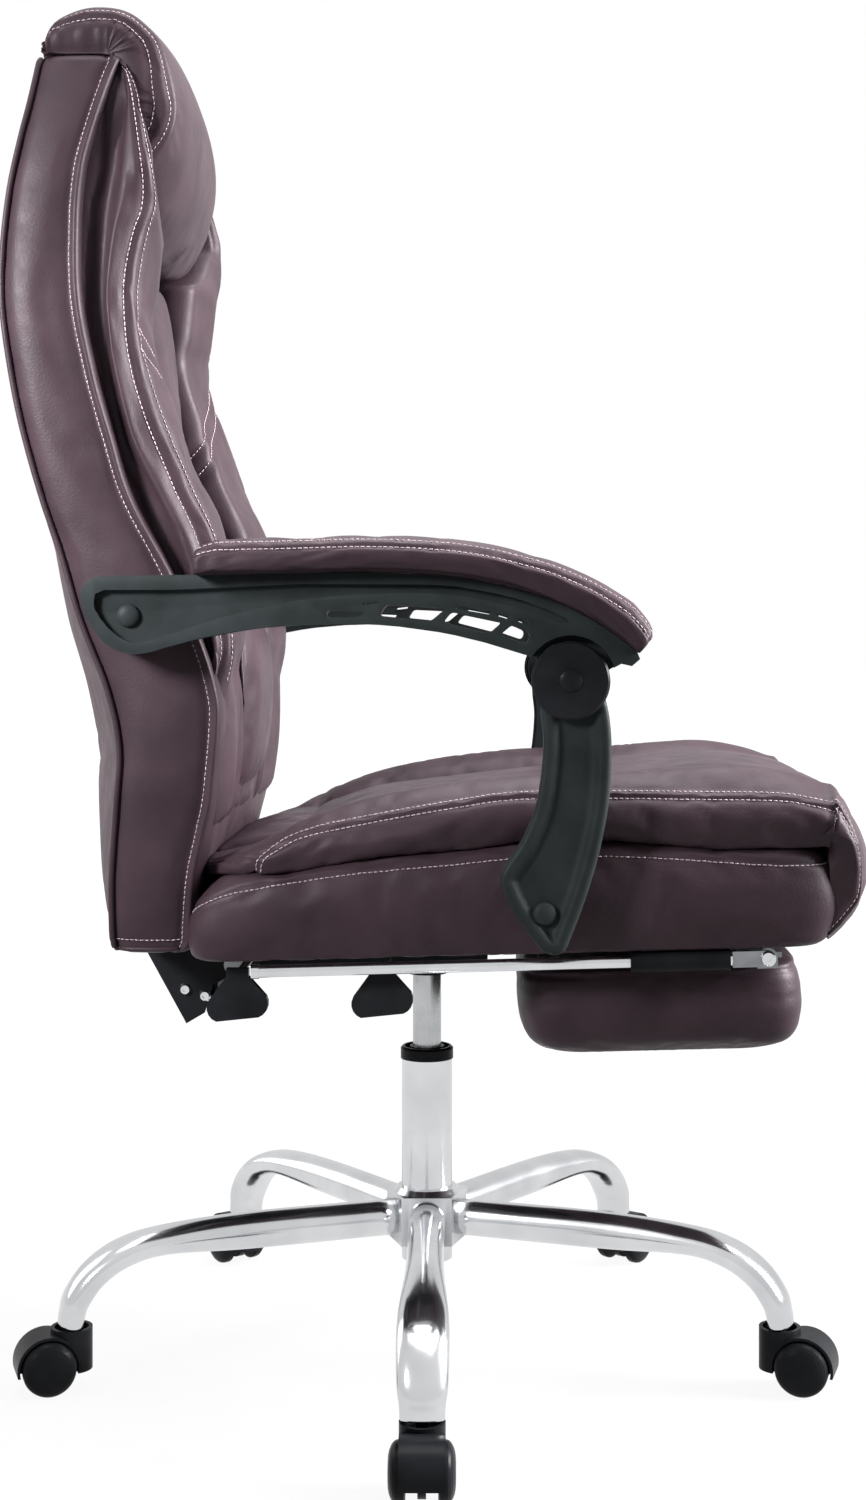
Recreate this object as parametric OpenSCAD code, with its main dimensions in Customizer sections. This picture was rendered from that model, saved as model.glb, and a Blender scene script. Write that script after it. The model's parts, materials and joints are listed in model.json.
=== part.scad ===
/* [Star base] */
// Distance from the column's axis to each caster stem
star_r = 350; // [335:1:370]
// Turn of the star under the seat, in degrees
star_turn = 1.4; // [-30:0.1:30]
// Height of the hub's underside above the floor
hub_z = 111; // [106:1:120]
// Height of the hub
hub_h = 47; // [42:1:52]
// Distance from the axis to each flat of the hub
hub_flat = 34; // [32:0.5:38]
// Diameter of an arm tube at the hub
arm_d = 35; // [30:0.5:38]
// Width of an arm where it is flattened at its bend
arm_bend_w = 45; // [40:1:50]
// Thickness of an arm where it is flattened at its bend
arm_bend_t = 25; // [22:0.5:28]
// Width of an arm at its tip
arm_tip_w = 38; // [34:1:42]
// Thickness of an arm at its tip
arm_tip_t = 24; // [22:0.5:27]
// Wall of an arm tube
arm_wall = 2; // [1.2:0.1:2.4]

/* [Casters] */
// Diameter of a wheel
wheel_d = 50; // [46:1:52]
// Width over both wheels of a caster
caster_w = 56; // [52:1:60]
// Gap between the two wheels of a caster
wheel_gap = 27; // [24:1:29]
// Offset of the axle from the stem
trail = 23; // [21:0.5:25]
// Width of the hood
hood_w = 38; // [35:1:40]
// Thickness of the hood's fender
fender_t = 2.6; // [2:0.1:3.2]
// Diameter of the hood's boss round the stem
boss_d = 39; // [36:1:40]
// Height of the boss over the top of the wheels
boss_rise = 8; // [6:0.5:10]
// Diameter of the stem
stem_d = 11; // [10:0.5:11]
// Length of the stem above the hood
stem_len = 14; // [12:0.5:16]
// Diameter of the axle
axle_d = 7; // [6:0.5:8]

/* [Gas lift] */
// Diameter of the outer tube
column_d = 50; // [46:1:52]
// Wall of the outer tube
column_wall = 1.5; // [1.2:0.1:2.5]
// Length of the outer tube
column_len = 197; // [190:1:205]
// How far the outer tube reaches below the hub
column_drop = 19; // [15:1:22]
// Diameter of the sliding cylinder
lift_d = 28; // [26:0.5:29]
// Wall of the sliding cylinder
lift_wall = 2; // [1.5:0.1:2.5]
// Length of the sliding cylinder
lift_len = 216; // [212:1:218]
// Diameter of the piston rod
rod_d = 10; // [8:0.5:11]
// Length of the guide bush inside the tube
bush_len = 44; // [38:1:50]
// Height of the guide bush's collar
collar_h = 12; // [9:1:14]

/* [Seat] */
// Half width of the boxed lower cushion
seat_half_w = 255; // [248:0.5:255]
// Rear face of the lower cushion
seat_rear = -205; // [-208:1:-195]
// Front face of the lower cushion
seat_front = 360; // [352:1:364]
// Height of the lower cushion's bottom edge at the column
seat_z = 426; // [424:0.5:428]
// Tilt of the seat and of the footrest rails, front up
seat_tilt = 1.72; // [1.2:0.01:1.9]
// Height of the boxed side at its seam
box_h = 88; // [80:1:92]
// How much narrower the upper cushion is than the lower one, on each side
pad_inset = 7; // [5:1:15]
// Reach of the rolled front past the lower cushion
roll_reach = 71; // [60:1:74]
// How far the rolled front curves back toward the sides
roll_bow = 26; // [10:1:34]
// Height of the side wings over the middle of the upper cushion
wing_rise = 16; // [8:1:20]
// Thickness of the seat board
board_t = 12; // [10:0.5:14]

/* [Back] */
// How much narrower the back is than the seat, on each side
back_inset = 1; // [0:0.5:8]
// Thickness of the back board
back_board_t = 12; // [10:0.5:14]
// Half width of the back's middle cushion
spine_half_w = 95; // [88:1:105]
// How far the rear panel bulges
rear_bulge = 46; // [36:1:52]
// Thickness of the head pillow over the top of the back
pillow_top = 50; // [40:1:56]
// How much narrower the head pillow is than the back, on each side
pillow_inset = 40; // [36:1:49]

/* [Arms] */
// Gap between the lower cushion and the arm frames and posts
arm_gap = 13; // [11:0.5:17]
// Thickness of the arm frames and posts
arm_t = 30; // [28:0.5:33]
// Depth of the recess in the outer face
recess = 7; // [5:0.5:8]
// Width of the raised rim round each recess
rim = 8; // [6:0.5:9]
// Width of an armrest pad
pad_w = 64; // [58:1:66]
// Thickness of an armrest pad at its middle
pad_t = 30; // [26:0.5:34]
// Radius of the cover disc at the front hinge
disc_r = 33.7; // [31:0.1:35]
// Radius of the bolt caps
cap_r = 10; // [9:0.5:11]
// Diameter of the pivot bolts
bolt_d = 10; // [8:0.5:11]

/* [Footrest] */
// Diameter of a rail
rail_d = 11; // [9:0.5:12]
// How far inside the lower cushion's side each rail lies
rail_inset = 15; // [14:0.5:19]
// Rear end of the rails
rail_rear = -146; // [-150:1:-140]
// Outer diameter of a guide sleeve
sleeve_d = 19; // [17:0.5:19.5]
// Length of a guide sleeve
sleeve_len = 87; // [80:1:90]
// Gap between the middle of a rail and the footrest pad's side
rest_inset = 35; // [32:1:50]
// Length of the footrest pad
rest_len = 258; // [245:1:262]
// Thickness of the footrest pad
rest_t = 86; // [80:1:94]

/* [Levers] */
// Diameter of a lever rod
lever_d = 7; // [6:0.5:8]
// Width of a paddle
paddle_w = 55; // [50:1:58]
// Height of a paddle
paddle_h = 48; // [44:1:52]
// Thickness of a paddle
paddle_t = 9; // [7:0.5:10]

/* [Fits] */
// Gap of a running fit, measured on the radius
run_gap = 0.05; // [0.02:0.01:0.08]
// Gap between a soft piece and its neighbour
soft_gap = 0.3; // [0.25:0.05:0.4]
// Play left at the front arm hinge for the linkage
link_play = 5; // [4.6:0.1:5.4]

/* [Hidden] */
$fn = 48;

leather = "#4a3a42";
black = "#26282a";
moulded = "#2b3334";
chrome = "#c8cacc";
steel = "#9a9c9e";

// Pivots of the reclining linkage, as [x, z]
recline_axis = [-176, 400];
arm_axis = [-246, 725];
disc_axis = [133, 669.5];
post_axis = [111, 470.5];

// Casters
wheel_r = wheel_d / 2;
wheel_w = (caster_w - wheel_gap) / 2;
wheel_run = 2;
fender_r = wheel_r + wheel_run + fender_t;
hood_top = wheel_d + boss_rise;
web_t = 7;
hood_end_z = 19;
star_angles = [for (i = [0:4]) -90 + 72 * i + star_turn];

// Star arms, as [distance from the axis, height] along the middle of the tube
tip_z = hood_top + 2;
arm_z = hub_z + hub_h / 2;
arm_path = smooth([[hub_flat + soft_gap, arm_z], [star_r - 170, arm_z - 1], [star_r - 88, arm_z - 3],
    [star_r - 48, arm_z - 12], [star_r - 21, arm_z - 29], [star_r - 5, arm_z - 50],
    [star_r - 0.5, arm_z - 64], [star_r + 1, tip_z]], 2);
arm_sizes = smooth([[arm_d, arm_d], [arm_d, arm_d], [arm_bend_w - 4, arm_bend_t + 2],
    [arm_bend_w, arm_bend_t], [arm_bend_w, arm_bend_t], [arm_bend_w - 2, arm_bend_t],
    [arm_tip_w + 1, arm_tip_t], [arm_tip_w, arm_tip_t]], 2);
arm_sides = 14;

// Column
column_r = column_d / 2;
column_z = hub_z - column_drop;
column_top = column_z + column_len;
lift_r = lift_d / 2;
lift_top = seat_z - 30;
lift_z = lift_top - lift_len;
gland_h = 10;
valve_r = 4;
rod_r = rod_d / 2;
floor_t = 3;
bearing_h = 8;
piston_z = 238;
piston_h = 12;

// Seat
function seat_bottom(x) = seat_z + x * tan(seat_tilt);
seat_seam = [[-205, 460], [-188, 474], [-150, 487], [-60, 502], [30, 511], [110, 519],
    [200, 518], [310, 511], [364, 511]];
function seam_z(x) = curve_at(seat_seam, x) + box_h - 88;
function box_top(x) = 511 + box_h - 88 + 0.055 * x;
board_rear = seat_rear + 20;
board_front = seat_front - 22;
board_half_w = seat_half_w - 20;
board_lift = 2;
pad_half_w = seat_half_w - pad_inset;

// Upper cushion, as [x, height of the middle], and the wings' share of their full height
pad_rear = seat_rear + 14;
roll_front = seat_front + roll_reach;
pad_crown = [[-191, 507], [-150, 519], [-107, 530], [-50, 543], [50, 556], [150, 567],
    [240, 578], [290, 581], [335, 577], [365, 570], [390, 555], [410, 538], [424, 519], [431, 500]];
wing_share = [[-150, 0], [-110, 0.6], [-60, 1], [5, 1.3], [95, 1.3], [200, 0.8], [290, 0.6],
    [330, 0.4], [365, 0], [431, 0]];
roll_bottom = [[361, 433], [376, 434], [390, 437], [404, 442], [416, 449], [425, 457], [431, 467]];

// Back, as [height, x] of each line that runs up it
back_half_w = seat_half_w - back_inset;
pillow_half_w = back_half_w - pillow_inset;
back_rear_line = [[432, -275], [490, -273], [563, -266], [610, -263], [660, -272], [720, -294],
    [780, -318], [830, -340], [890, -356], [943, -365], [1000, -369], [1050, -367], [1103, -362],
    [1148, -354], [1183, -347], [1228, -340]];
back_front_line = [[432, -213], [490, -207], [535, -197], [568, -190], [629, -184], [658, -186],
    [701, -199], [762, -226], [828, -260], [881, -277], [943, -294], [1005, -306], [1072, -309],
    [1120, -305], [1157, -297], [1205, -284], [1228, -276]];
bolster_line = [[530, -186], [560, -170], [600, -165], [650, -167], [672, -172], [710, -162],
    [760, -167], [806, -179], [831, -188], [867, -204], [904, -217], [942, -230], [995, -244],
    [1020, -241], [1055, -237], [1092, -232], [1130, -231], [1150, -234]];
middle_line = [[530, -190], [560, -172], [600, -163], [640, -160], [690, -162], [720, -172],
    [760, -190], [800, -215], [868, -246], [940, -256], [1000, -262], [1040, -268], [1060, -272]];
back_width = [[432, 0.86], [500, 0.93], [600, 0.99], [700, 1], [900, 1], [1050, 0.975],
    [1150, 0.93], [1228, 0.85]];
levels = [432, 440, 480, 530, 560, 600, 640, 672, 710, 760, 806, 860, 904, 942, 1000, 1040, 1060,
    1100, 1140, 1180, 1215, 1228];
function back_w(z) = back_half_w * curve_at(back_width, z);
function rear_x(z) = at_levels(back_rear_line, z);
function front_x(z) = at_levels(back_front_line, z);
back_top = 1228;
board_low = 450;
board_high = 1180;

// Arms
arm_in = seat_half_w + arm_gap;
arm_out = arm_in + arm_t;
arm_mid = arm_in + arm_t / 2;
lap_gap = 0.6;
rest_line = smooth([[-186, 759], [-107, 760.5], [-43, 762], [12, 760], [54, 755], [96, 745],
    [124, 735], [150, 722], [175, 705.5], [190, 693]], 2);
pin_d = 14;
play_r = pin_d / 2 + link_play;
lug_r = 30;

// Footrest
rail_y = seat_half_w - rail_inset;
rest_half_w = rail_y - rest_inset;
rest_board_half = rest_half_w - 25;
rest_axis = [307, seat_bottom(307) - sleeve_d / 2 - 0.4];
sleeve_x = 187;
bracket_h = 14;
bracket_t = 4;
bracket_y = rail_y + 2;
lug_t = 4;
lug_y = bracket_y - bracket_t / 2 - lug_t - soft_gap;
rest_rear = rest_axis[0] - 218;
rest_top = rest_axis[1] - 9;
screw_r = 3;

// Levers: x of each, the distance of the paddle from the middle, and the lift pivot
height_lever_x = -32;
recline_lever_x = -161;
paddle_gap = 23;
paddle_y = paddle_gap - rail_y;
lever_drop = 16;
lever_ball_r = lever_d / 2 + 1.5;
wall_y = 40;
channel_z = 385;
channel_rear = -196;
channel_front = 60;
sheet_t = 3;
function lever_z(x) = seat_bottom(x) - lever_drop;

function sgn_pow(v, e) = sign(v) * pow(abs(v), e);
function unit(v) = v / norm(v);
function mean(p) = [for (k = [0:2]) sum([for (q = p) q[k]]) / len(p)];
function sum(v, i = 0) = i < len(v) ? v[i] + sum(v, i + 1) : 0;
function last(v) = v[len(v) - 1];

// One point of the cubic that runs from b to c, with a and d beyond them
function cubic(a, b, c, d, t) = (2 * b + (c - a) * t + (2 * a - 5 * b + 4 * c - d) * t * t
    + (3 * b - a - 3 * c + d) * t * t * t) / 2;
// A smooth line through points, with m steps from each to the next
function smooth(p, m) = [for (i = [0:len(p) - 2], k = [0:m - 1])
    cubic(p[max(i - 1, 0)], p[i], p[i + 1], p[min(i + 2, len(p) - 1)], k / m), last(p)];
// The value at x on a line through [x, value] points, smoothed with their neighbours
function curve_at(p, x) = (lookup(x - 12, p) + 2 * lookup(x, p) + lookup(x + 12, p)) / 4;
// The same line made straight between the back's levels, so that pieces share their faces
function at_levels(p, z) = lookup(z, [for (h = levels) [h, curve_at(p, h)]]);

// A flat outline with its corners rounded by r
function rounded(p, r) = [for (i = [0:len(p) - 1]) let (n = len(p), b = p[i], to_a = p[(i + n - 1) % n] - b,
    to_c = p[(i + 1) % n] - b, u = unit(to_a), v = unit(to_c), q = min(r, norm(to_a) / 2.5, norm(to_c) / 2.5))
    each [b + u * q, b + (u + v) * q * 0.3, b + v * q]];
// A clockwise outline drawn in by d
function drawn_in(p, d) = [for (i = [0:len(p) - 1]) let (n = len(p),
    t = unit(p[(i + 1) % n] - p[(i + n - 1) % n])) p[i] + d * [t[1], -t[0]]];

// Closed skin over rings of points that turn anticlockwise round the way they are stacked
module skin(rings, flat = false) {
    n = len(rings[0]);
    m = len(rings);
    points = [for (r = rings) each r, mean(rings[0]), mean(last(rings))];
    sides = [for (j = [0:m - 2], i = [0:n - 1]) let (k = (i + 1) % n)
        each [[j * n + i, (j + 1) * n + i, (j + 1) * n + k], [j * n + i, (j + 1) * n + k, j * n + k]]];
    ends = [for (i = [0:n - 1]) let (k = (i + 1) % n)
        each [[m * n, i, k], [m * n + 1, (m - 1) * n + k, (m - 1) * n + i]]];
    caps = [[for (i = [0:n - 1]) i], [for (i = [n - 1:-1:0]) (m - 1) * n + i]];
    polyhedron(points, concat(sides, flat ? caps : ends));
}

// Skin over an outer and an inner run of rings, open at both ends
module pipe_skin(outer, inner) {
    n = len(outer[0]);
    m = len(outer);
    w = m * n;
    points = [for (r = outer) each r, for (r = inner) each r];
    walls = [for (j = [0:m - 2], i = [0:n - 1]) let (k = (i + 1) % n, a = j * n, b = a + n)
        each [[a + i, b + i, b + k], [a + i, b + k, a + k],
        [w + a + i, w + b + k, w + b + i], [w + a + i, w + a + k, w + b + k]]];
    near = [for (i = [0:n - 1]) let (k = (i + 1) % n)
        each [[i, k, w + k], [i, w + k, w + i]]];
    far = [for (i = [0:n - 1]) let (k = (i + 1) % n, a = (m - 1) * n)
        each [[a + i, w + a + k, a + k], [a + i, w + a + i, w + a + k]]];
    polyhedron(points, concat(walls, near, far));
}

// Ring round a path in the x-z plane, w wide across it and t thick
function path_ring(path, i, w, t, sides, blunt = 1) =
    let (d = unit(path[min(i + 1, len(path) - 1)] - path[max(i - 1, 0)]))
    [for (k = [0:sides - 1]) let (a = 360 * k / sides, s = t / 2 * sgn_pow(sin(a), blunt))
        [path[i][0] - d[1] * s, w / 2 * sgn_pow(cos(a), blunt), path[i][1] + d[0] * s]];

module turned(axis_x, z, y = 0) translate([axis_x, y, z]) rotate([-90, 0, 0]) children();
module both_sides() {
    children();
    mirror([0, 1, 0]) children();
}
module tilted() translate([0, 0, seat_z]) rotate([0, -seat_tilt, 0]) children();
// A flat shape drawn in x and z, given a thickness from y to y + t
module upright(y, t) translate([0, y + t, 0]) rotate([90, 0, 0]) linear_extrude(t) children();

module star_hub() color(chrome) rotate(star_turn) difference() {
    union() {
        translate([0, 0, hub_z]) rotate(-90 + 36) cylinder(r = hub_flat / cos(36), h = hub_h, $fn = 5);
        translate([0, 0, hub_z + hub_h]) cylinder(r1 = hub_flat - 1, r2 = column_r + 4, h = 5);
    }
    translate([0, 0, hub_z - 1]) cylinder(r = column_r + run_gap, h = hub_h + 8, $fn = 96);
}

module star_arm() {
    outer = [for (i = [0:len(arm_path) - 1])
        path_ring(arm_path, i, arm_sizes[i][0], arm_sizes[i][1], arm_sides, i < 4 ? 1 : 0.85)];
    inner = [for (i = [0:len(arm_path) - 1]) path_ring(arm_path, i, arm_sizes[i][0] - 2 * arm_wall,
        arm_sizes[i][1] - 2 * arm_wall, arm_sides, i < 4 ? 1 : 0.85)];
    pipe_skin(outer, inner);
}
module star_arms() color(chrome) for (a = star_angles) rotate(a) star_arm();

// Socket for a stem, with a conical neck and a plate inside the tip of the arm
tip_plate = [for (k = [0:arm_sides - 1]) let (a = 360 * k / arm_sides, gap = arm_wall + 2 * soft_gap)
    [0.7 + (arm_tip_t / 2 - gap) * sgn_pow(sin(a), 0.85), (arm_tip_w / 2 - gap) * sgn_pow(cos(a), 0.85)]];
module caster_sleeves() color(steel) for (a = star_angles) rotate(a) translate([star_r, 0, 0])
    difference() {
        union() {
            translate([0, 0, tip_z]) cylinder(r1 = stem_d / 2 + 2.4, r2 = stem_d / 2 + 1.2, h = stem_len);
            translate([0, 0, tip_z]) linear_extrude(2) polygon(tip_plate);
        }
        translate([0, 0, tip_z - 1]) cylinder(d = stem_d + 2 * run_gap, h = stem_len + 2, $fn = 64);
    }

module gas_outer_tube() color(chrome) difference() {
    translate([0, 0, column_z]) cylinder(r = column_r, h = column_len, $fn = 96);
    translate([0, 0, column_z + floor_t]) cylinder(r = column_r - column_wall, h = column_len, $fn = 96);
    translate([0, 0, column_z - 1]) cylinder(r = rod_r + run_gap, h = floor_t + 2, $fn = 48);
}

module gas_guide_bush() color(black) difference() {
    union() {
        translate([0, 0, column_top - bush_len])
            cylinder(r = column_r - column_wall - run_gap, h = bush_len, $fn = 96);
        translate([0, 0, column_top]) cylinder(r = column_r + 1, h = collar_h - 2, $fn = 96);
        translate([0, 0, column_top + collar_h - 2])
            cylinder(r1 = column_r + 1, r2 = column_r - 1, h = 2, $fn = 96);
    }
    translate([0, 0, column_top - bush_len - 1])
        cylinder(r = lift_r + run_gap, h = bush_len + collar_h + 2, $fn = 96);
    translate([0, 0, column_top + collar_h - 4]) difference() {
        cylinder(r = column_r - 3, h = 5);
        translate([0, 0, -1]) cylinder(r = lift_r + 3, h = 7);
    }
}

bearing_r = column_r - column_wall - 3;
module gas_thrust_bearing() color(steel) translate([0, 0, column_z + floor_t]) difference() {
    cylinder(r = bearing_r, h = bearing_h);
    translate([0, 0, -1]) cylinder(r = rod_r + 0.3, h = bearing_h + 2);
    translate([0, 0, bearing_h / 2 - 1]) difference() {
        cylinder(r = bearing_r + 1, h = 2);
        translate([0, 0, -1]) cylinder(r = bearing_r - 2, h = 4);
    }
}

// Piston rod with its shoulder, piston and the spring clip under the tube
module gas_rod() color(steel) {
    shoulder_z = column_z + floor_t + bearing_h + run_gap;
    translate([0, 0, column_z - 6]) cylinder(r = rod_r, h = piston_z + piston_h - column_z + 6, $fn = 48);
    translate([0, 0, shoulder_z]) cylinder(r = rod_r + 4, h = 4);
    translate([0, 0, piston_z]) cylinder(r = lift_r - lift_wall - run_gap, h = piston_h, $fn = 64);
    translate([0, 0, column_z - 2.1]) cylinder(r = rod_r + 6, h = 2);
}

module gas_cylinder() color(steel) difference() {
    translate([0, 0, lift_z]) cylinder(r = lift_r, h = lift_len, $fn = 96);
    translate([0, 0, lift_z + gland_h]) cylinder(r = lift_r - lift_wall, h = lift_len - gland_h - 12, $fn = 64);
    translate([0, 0, lift_z - 1]) cylinder(r = rod_r + run_gap, h = gland_h + 2, $fn = 48);
    translate([0, 0, lift_z + lift_len - 8]) cylinder(r = valve_r + run_gap, h = 9, $fn = 32);
}
// Valve pin in the top of the cylinder, with idle travel below the height lever's tongue
tongue_z = lever_z(height_lever_x) - 1;
module gas_valve_pin() color(steel) translate([0, 0, lift_z + lift_len - 8])
    cylinder(r = valve_r, h = tongue_z - 3 - lift_z - lift_len + 8, $fn = 32);

// Pressed frame under the seat: a top plate, a channel below it and the socket for the column
module mechanism_frame() color(black) {
    socket_z = channel_z - 12;
    difference() {
        union() {
            tilted() translate([-150, -100, board_lift - sheet_t - 0.2]) cube([250, 200, sheet_t]);
            both_sides() upright(wall_y - sheet_t, sheet_t) polygon([[channel_rear, channel_z],
                [channel_front, channel_z], [channel_front, seat_bottom(channel_front) - 1],
                [-150, seat_bottom(-150) - 1], [channel_rear, seat_bottom(channel_rear) - 6]]);
            translate([channel_rear, -wall_y + 0.5, channel_z])
                cube([channel_front - channel_rear, 2 * wall_y - 1, sheet_t]);
            translate([0, 0, socket_z]) cylinder(r = lift_r + 6, h = 29);
        }
        translate([0, 0, socket_z - 1]) cylinder(r = lift_r + run_gap, h = 60, $fn = 96);
        turned(recline_axis[0], recline_axis[1], -60) cylinder(r = 6 + run_gap, h = 120);
        for (x = [height_lever_x, recline_lever_x]) translate([x, -wall_y - 2, lever_z(x)])
            rotate([-90, 0, 0]) cylinder(r = lever_ball_r + run_gap, h = 8);
        for (x = [-130, 80], y = [-80, 80]) tilted() translate([x, y, -5]) cylinder(r = 3.3, h = 12);
    }
}
module mechanism_bolts() color(steel) for (x = [-130, 80], y = [-80, 80]) tilted()
    translate([x, y, 0]) {
        translate([0, 0, board_lift - sheet_t - 4.3]) cylinder(r = 6, h = 4, $fn = 6);
        translate([0, 0, board_lift - sheet_t - 0.5]) cylinder(r = 3.2, h = sheet_t + board_t - 3);
    }
shaft_len = 252;
module recline_shaft() color(steel) turned(recline_axis[0], recline_axis[1], -shaft_len / 2) {
    cylinder(r = 6, h = shaft_len);
    for (z = [-3, shaft_len]) translate([0, 0, z]) cylinder(r = 9, h = 3);
}

module board_plan(grow = 0) polygon([for (c = [[board_rear, -1], [board_front, -1], [board_front, 1],
    [board_rear, 1]], k = [0:3]) let (r = 40, sx = c[0] > 0 ? 1 : -1, start = c[1] < 0 ?
    (sx < 0 ? 180 : 270) : (sx < 0 ? 90 : 0), a = start + 30 * k)
    [c[0] - sx * r + (r + grow) * cos(a), c[1] * (board_half_w - r) + (r + grow) * sin(a)]]);
module seat_board() color("#c9a878") difference() {
    tilted() translate([0, 0, board_lift]) linear_extrude(board_t) board_plan();
    for (x = [-130, 80], y = [-80, 80]) tilted() translate([x, y, 0])
        cylinder(r = 3.2 + run_gap, h = board_t);
}

// Plan of the lower cushion, drawn in by inset, as points anticlockwise from the front
function box_plan(inset, n = 44) = [for (k = [0:n - 1]) let (a = 360 * k / n,
    mid = (seat_front + seat_rear) / 2, half = (seat_front - seat_rear) / 2)
    [mid + (half - inset) * sgn_pow(cos(a), 0.28), (seat_half_w - inset) * sgn_pow(sin(a), 0.28)]];
function rear_soft(x) = 1 - min(1, max(0, (x - seat_rear) / 70));
function box_ring(inset, height) = [for (p = box_plan(inset)) [p[0], p[1], height(p[0])]];
function lift_ring(inset, t) = [for (p = box_plan(inset)) let (x = p[0] + 34 * t * rear_soft(p[0]))
    [x, p[1], seam_z(p[0]) + (box_top(x) - seam_z(p[0])) * t]];
module seat_base_cushion() color(leather) difference() {
    skin([box_ring(14, function(x) seat_bottom(x)), box_ring(5, function(x) seat_bottom(x) + 1),
        box_ring(0.8, function(x) seat_bottom(x) + 10), box_ring(0, function(x) seat_bottom(x) + 40),
        box_ring(1, function(x) seam_z(x) - 6), lift_ring(2, 0), lift_ring(7, 0.75), lift_ring(22, 1)]);
    tilted() translate([0, 0, -5]) linear_extrude(board_t + board_lift + soft_gap + 5) board_plan(soft_gap);
}

// Cross section of the upper cushion at x: a middle, two sewn channels and a raised wing each side
pad_stations = [pad_rear, pad_rear + 14, -150, -112, -76, -30, 30, 95, 160, 225, 285, 325, 347,
    seat_front + 0.1, seat_front + 0.8, seat_front + 16, seat_front + 30, seat_front + 44, seat_front + 56,
    seat_front + 65, roll_front];
function roll_share(x) = max(0, (x - seat_front - 0.8) / (roll_reach - 0.8));
function roll_narrow(x) = 5 * min(1, max(0, (x - seat_front + 40) / 40)) + 15 * pow(roll_share(x), 3);
function pad_w_at(x) = pad_half_w - roll_narrow(x) - (x < pad_rear + 10 ? 8 : 0);
function pad_bottom(x) = x < seat_front + 0.5 ? box_top(x) + soft_gap : lookup(x - seat_front + 360, roll_bottom);
function pad_top(x, s) = let (y = s * pad_w_at(x), w = wing_rise * lookup(x, wing_share),
    wing = max(0, 1 - pow((abs(y) - 205) / 46, 2)), seam = exp(-pow((abs(y) - 160) / 9, 2)))
    curve_at(pad_crown, x) + w * wing - 5 * seam * min(1, w / 8);
function pad_ring(x) = let (w = pad_w_at(x), b = pad_bottom(x), t = curve_at(pad_crown, x),
    side = [[0.97, 0], [1, 0.3], [0.995, 0.62], [0.96, 0.86]],
    top = [0.9, 0.825, 0.73, 0.645, 0.56, 0.36, 0, -0.36, -0.56, -0.645, -0.73, -0.825, -0.9])
    concat([for (p = side) [x, w * p[0], b + (pad_top(x, p[0]) - b) * p[1]]],
        [for (s = top) [x, w * s, pad_top(x, s)]],
        [for (i = [3:-1:0]) [x, -w * side[i][0], b + (pad_top(x, side[i][0]) - b) * side[i][1]]],
        [for (s = [-0.6, 0, 0.6]) [x, w * s, b]]);
// The rolled front curves back toward the sides
function bowed(ring) = [for (p = ring) [p[0] - roll_bow * roll_share(p[0]) * pow(p[1] / 200, 2), p[1], p[2]]];
module seat_top_cushion() color(leather) skin([for (x = pad_stations) bowed(pad_ring(x))]);

// Level section of the back's boxed sides, from the rear line to the front line
function side_ring(z, inset = 0) = let (w = back_w(z) - inset, r = rear_x(z), f = front_x(z), e = inset / 2,
    half = [[f - e, 0.94], [f - 5, 0.985], [(f + r) / 2, 1], [r + 8, 0.985], [r + e, 0.95]])
    concat([for (p = half) [p[0], w * p[1], z]], [[r + e, 0, z]],
        [for (i = [4:-1:0]) [half[i][0], -w * half[i][1], z]], [[f - e, 0, z]]);
function board_edge(x_off, grow) = [for (z = [board_low - grow, for (h = levels)
    if (h > board_low && h < board_high) h, board_high + grow]) [rear_x(z) + x_off, z]];
function reversed(v) = [for (i = [len(v) - 1:-1:0]) v[i]];
module back_board_profile(deep, behind, grow = 0)
    polygon(concat(board_edge(-behind, grow), reversed(board_edge(deep, grow))));
board_side = 190;
module back_board() color("#c9a878") upright(-board_side, 2 * board_side)
    back_board_profile(back_board_t, 0);
module back_side_cushion() color(leather) difference() {
    skin([for (z = levels) side_ring(z, z == levels[0] || z == back_top ? 9 : (z == 440 || z == 1215 ? 3 : 0))]);
    upright(-board_side - soft_gap, 2 * (board_side + soft_gap))
        back_board_profile(back_board_t + soft_gap, 20, soft_gap);
}

// Rear panel, bulging between the two rear seams
panel_levels = [for (z = levels) if (z >= 440 && z <= 1215) z];
function bulge_at(z) = rear_bulge * lookup(z, [[440, 0.5], [480, 0.9], [560, 1.15], [640, 1.25], [710, 1.1],
    [806, 0.8], [904, 0.6], [1060, 0.5], [1180, 0.35], [1215, 0.15]]);
function panel_ring(z) = let (w = back_w(z) * 0.95, x = rear_x(z) - soft_gap, b = bulge_at(z))
    [for (s = [1, 0.985, 0.93, 0.8, 0.55, 0.2, -0.2, -0.55, -0.8, -0.93, -0.985, -1])
        [x - 3 * (1 - pow(abs(s), 40)) - b * (1 - pow(abs(s), 3)), w * s, z]];
module back_rear_panel() color(leather) skin([for (z = panel_levels) panel_ring(z)]);

// Middle cushion of the back, with sewn channels across it
middle_levels = [for (z = levels) if (z >= 530 && z <= 1060) z];
function middle_ring(z) = let (end = z == 530 || z == 1060, w = spine_half_w - (end ? 7 : 0),
    b = front_x(z) + soft_gap, f = curve_at(middle_line, z) - (end ? 12 : 0) - (z == 672 || z == 560 ? 5 : 0))
    [for (p = [[0, -0.97], [0.45, -1], [0.8, -0.93], [0.97, -0.7], [1, -0.35], [1, 0.35], [0.97, 0.7],
        [0.8, 0.93], [0.45, 1], [0, 0.97]]) [b + (f - b) * p[0], w * p[1], z]];
module back_middle_cushion() color(leather) skin([for (z = middle_levels) middle_ring(z)]);

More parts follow.
